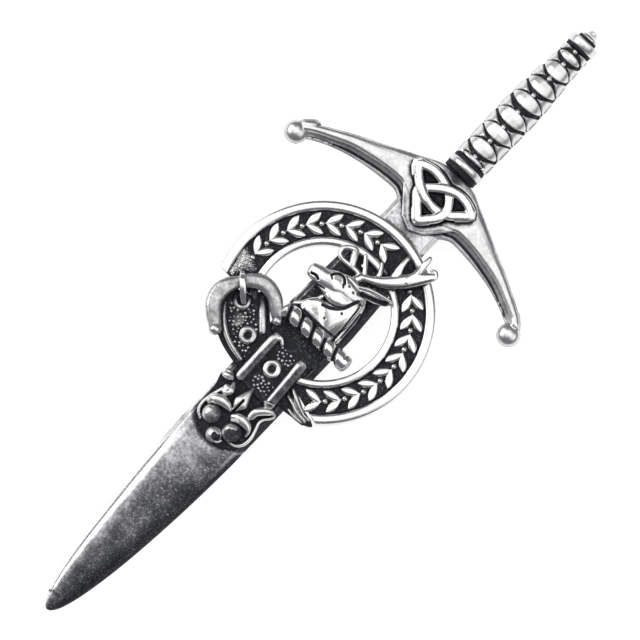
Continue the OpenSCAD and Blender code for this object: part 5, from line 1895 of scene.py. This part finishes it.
    def wreath(self, bench: Bench) -> None:
        """Models the twisted roll."""
        count, sides = self.wreath_grid
        around = np.linspace(0, TURN, sides, endpoint=False)
        rings = []
        for t in np.linspace(0, 1, count):
            u = self.wreath_u[0] + (self.wreath_u[1] - self.wreath_u[0]) * t
            close = math.sqrt(max(0.004, 1 - max(0.0, (abs(2 * t - 1) - 0.9) / 0.1) ** 2))
            depth = self.groove_depth * soft_step(u, self.last_groove + 3, self.last_groove)
            swell = 1 - depth * (1 - np.clip(self.from_groove(u, around) / 0.34, 0, 1)) ** 1.5
            r = self.wreath_r * close * swell
            x, y = PICTURE.seen(u, self.wreath_v, self.wreath_z)
            z = self.wreath_z + r * np.sin(around)
            rings.append(np.stack([np.full_like(z, x), y + r * np.cos(around), z], 1))
        roll = bench.skin(*closed_skin(np.array(rings)), "wreath")
        bench.set_in_frame(roll, "wreath_roll", ("wreath",), Lustre.POLISHED, self.soot_wreath)

    def soot_wreath(self, co: np.ndarray) -> np.ndarray:
        """Blackening of the wreath's grooves."""
        axis = PICTURE.seen(0, self.wreath_v, self.wreath_z)
        u = (co[:, 0] - axis[0]) / PICTURE.step
        around = np.arctan2(co[:, 2] - self.wreath_z, co[:, 1] - axis[1])
        return soft_step(self.from_groove(u, around), 0.2, 0.07) * (u < self.last_groove)

    def stag(self, bench: Bench) -> None:
        """Models the stag's head, neck and antlers as one casting."""
        parts = [bench.strand(PICTURE.strand(rows), steps=7, sides=28, square=q) for rows, q in self.HEAD]
        u, v, z, r = self.EYE
        parts.append(bench.ball(*PICTURE.seen(u, v, z), z, r * PICTURE.step, 0.55))
        parts += [bench.strand(PICTURE.strand(rows), steps=7, square=0.85) for rows in self.ANTLERS]
        u, v, z, r = self.ANTLER_DOT
        parts.append(bench.ball(*PICTURE.seen(u, v, z), z, r * PICTURE.step))
        stag = bench.fuse(parts, self.voxel, 5)
        for places, wide, deep in self.LINES:
            bench.carve(stag, PICTURE.line(places, 8.8), wide, deep, self.line_floor)
        for u, v in self.PITS:
            spot = PICTURE.line(((u - 0.4, v), (u + 0.4, v)), 8.9)
            bench.carve(stag, spot, *self.pit, self.line_floor)
        bench.set_in_frame(stag, "stag_cast", ("stag_head",), Lustre.POLISHED, self.soot_and_shade_stag)

    def soot_and_shade_stag(self, co: np.ndarray) -> np.ndarray:
        """Blackened lines of the face, the ear and the mane, and painted shade inside the eye, under the
        jaw, in the throat, along the near antler and at the neck's base.
        """
        return PICTURE.smudge(co, self.MARKS)

    def build(self, bench: Bench) -> None:
        """Models the crest."""
        self.wreath(bench)
        self.stag(bench)


@dataclass
class Fastening:
    """The plain brooch pin at the back."""

    bevel: float = 0.15

    def build(self, bench: Bench) -> None:
        """Rounds the edges of the CAD piece."""
        pin = bench.copy_of("brooch_pin")
        bench.modify(pin, "BEVEL", width=self.bevel, segments=3, limit_method="ANGLE", angle_limit=0.8)
        bench.set_in_frame(pin, "back_fastening", ("brooch_pin",), Lustre.PLAIN)


# Main


def dress(bench: Bench) -> None:
    """Gives every finished piece its blackening and painted shade, material, place in the frame and slot.
    """
    PatinaAndShade().apply(bench)
    materials = {lustre: finish.material() for lustre, finish in FINISHES.items()}
    for piece in bench.finished:
        piece.obj.data.transform(Matrix.Scale(MM, 4))
        piece.obj.data.materials.clear()
        piece.obj.data.materials.append(materials[piece.lustre])
        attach(piece.obj, ROOT)
        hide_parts(*piece.nodes)


def main() -> None:
    """Builds the pin, dresses it and sets up the studio."""
    logging.basicConfig(level=logging.INFO, format="%(message)s")
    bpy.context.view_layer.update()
    bench = Bench()
    for part in (Blade(), Guard(), Hilt(), Circlet(), Belt(), Crest(), Fastening()):
        part.build(bench)
    dress(bench)
    studio = Studio()
    studio.floor()
    studio.lights()
    studio.camera()


if __name__ == "__main__":
    main()
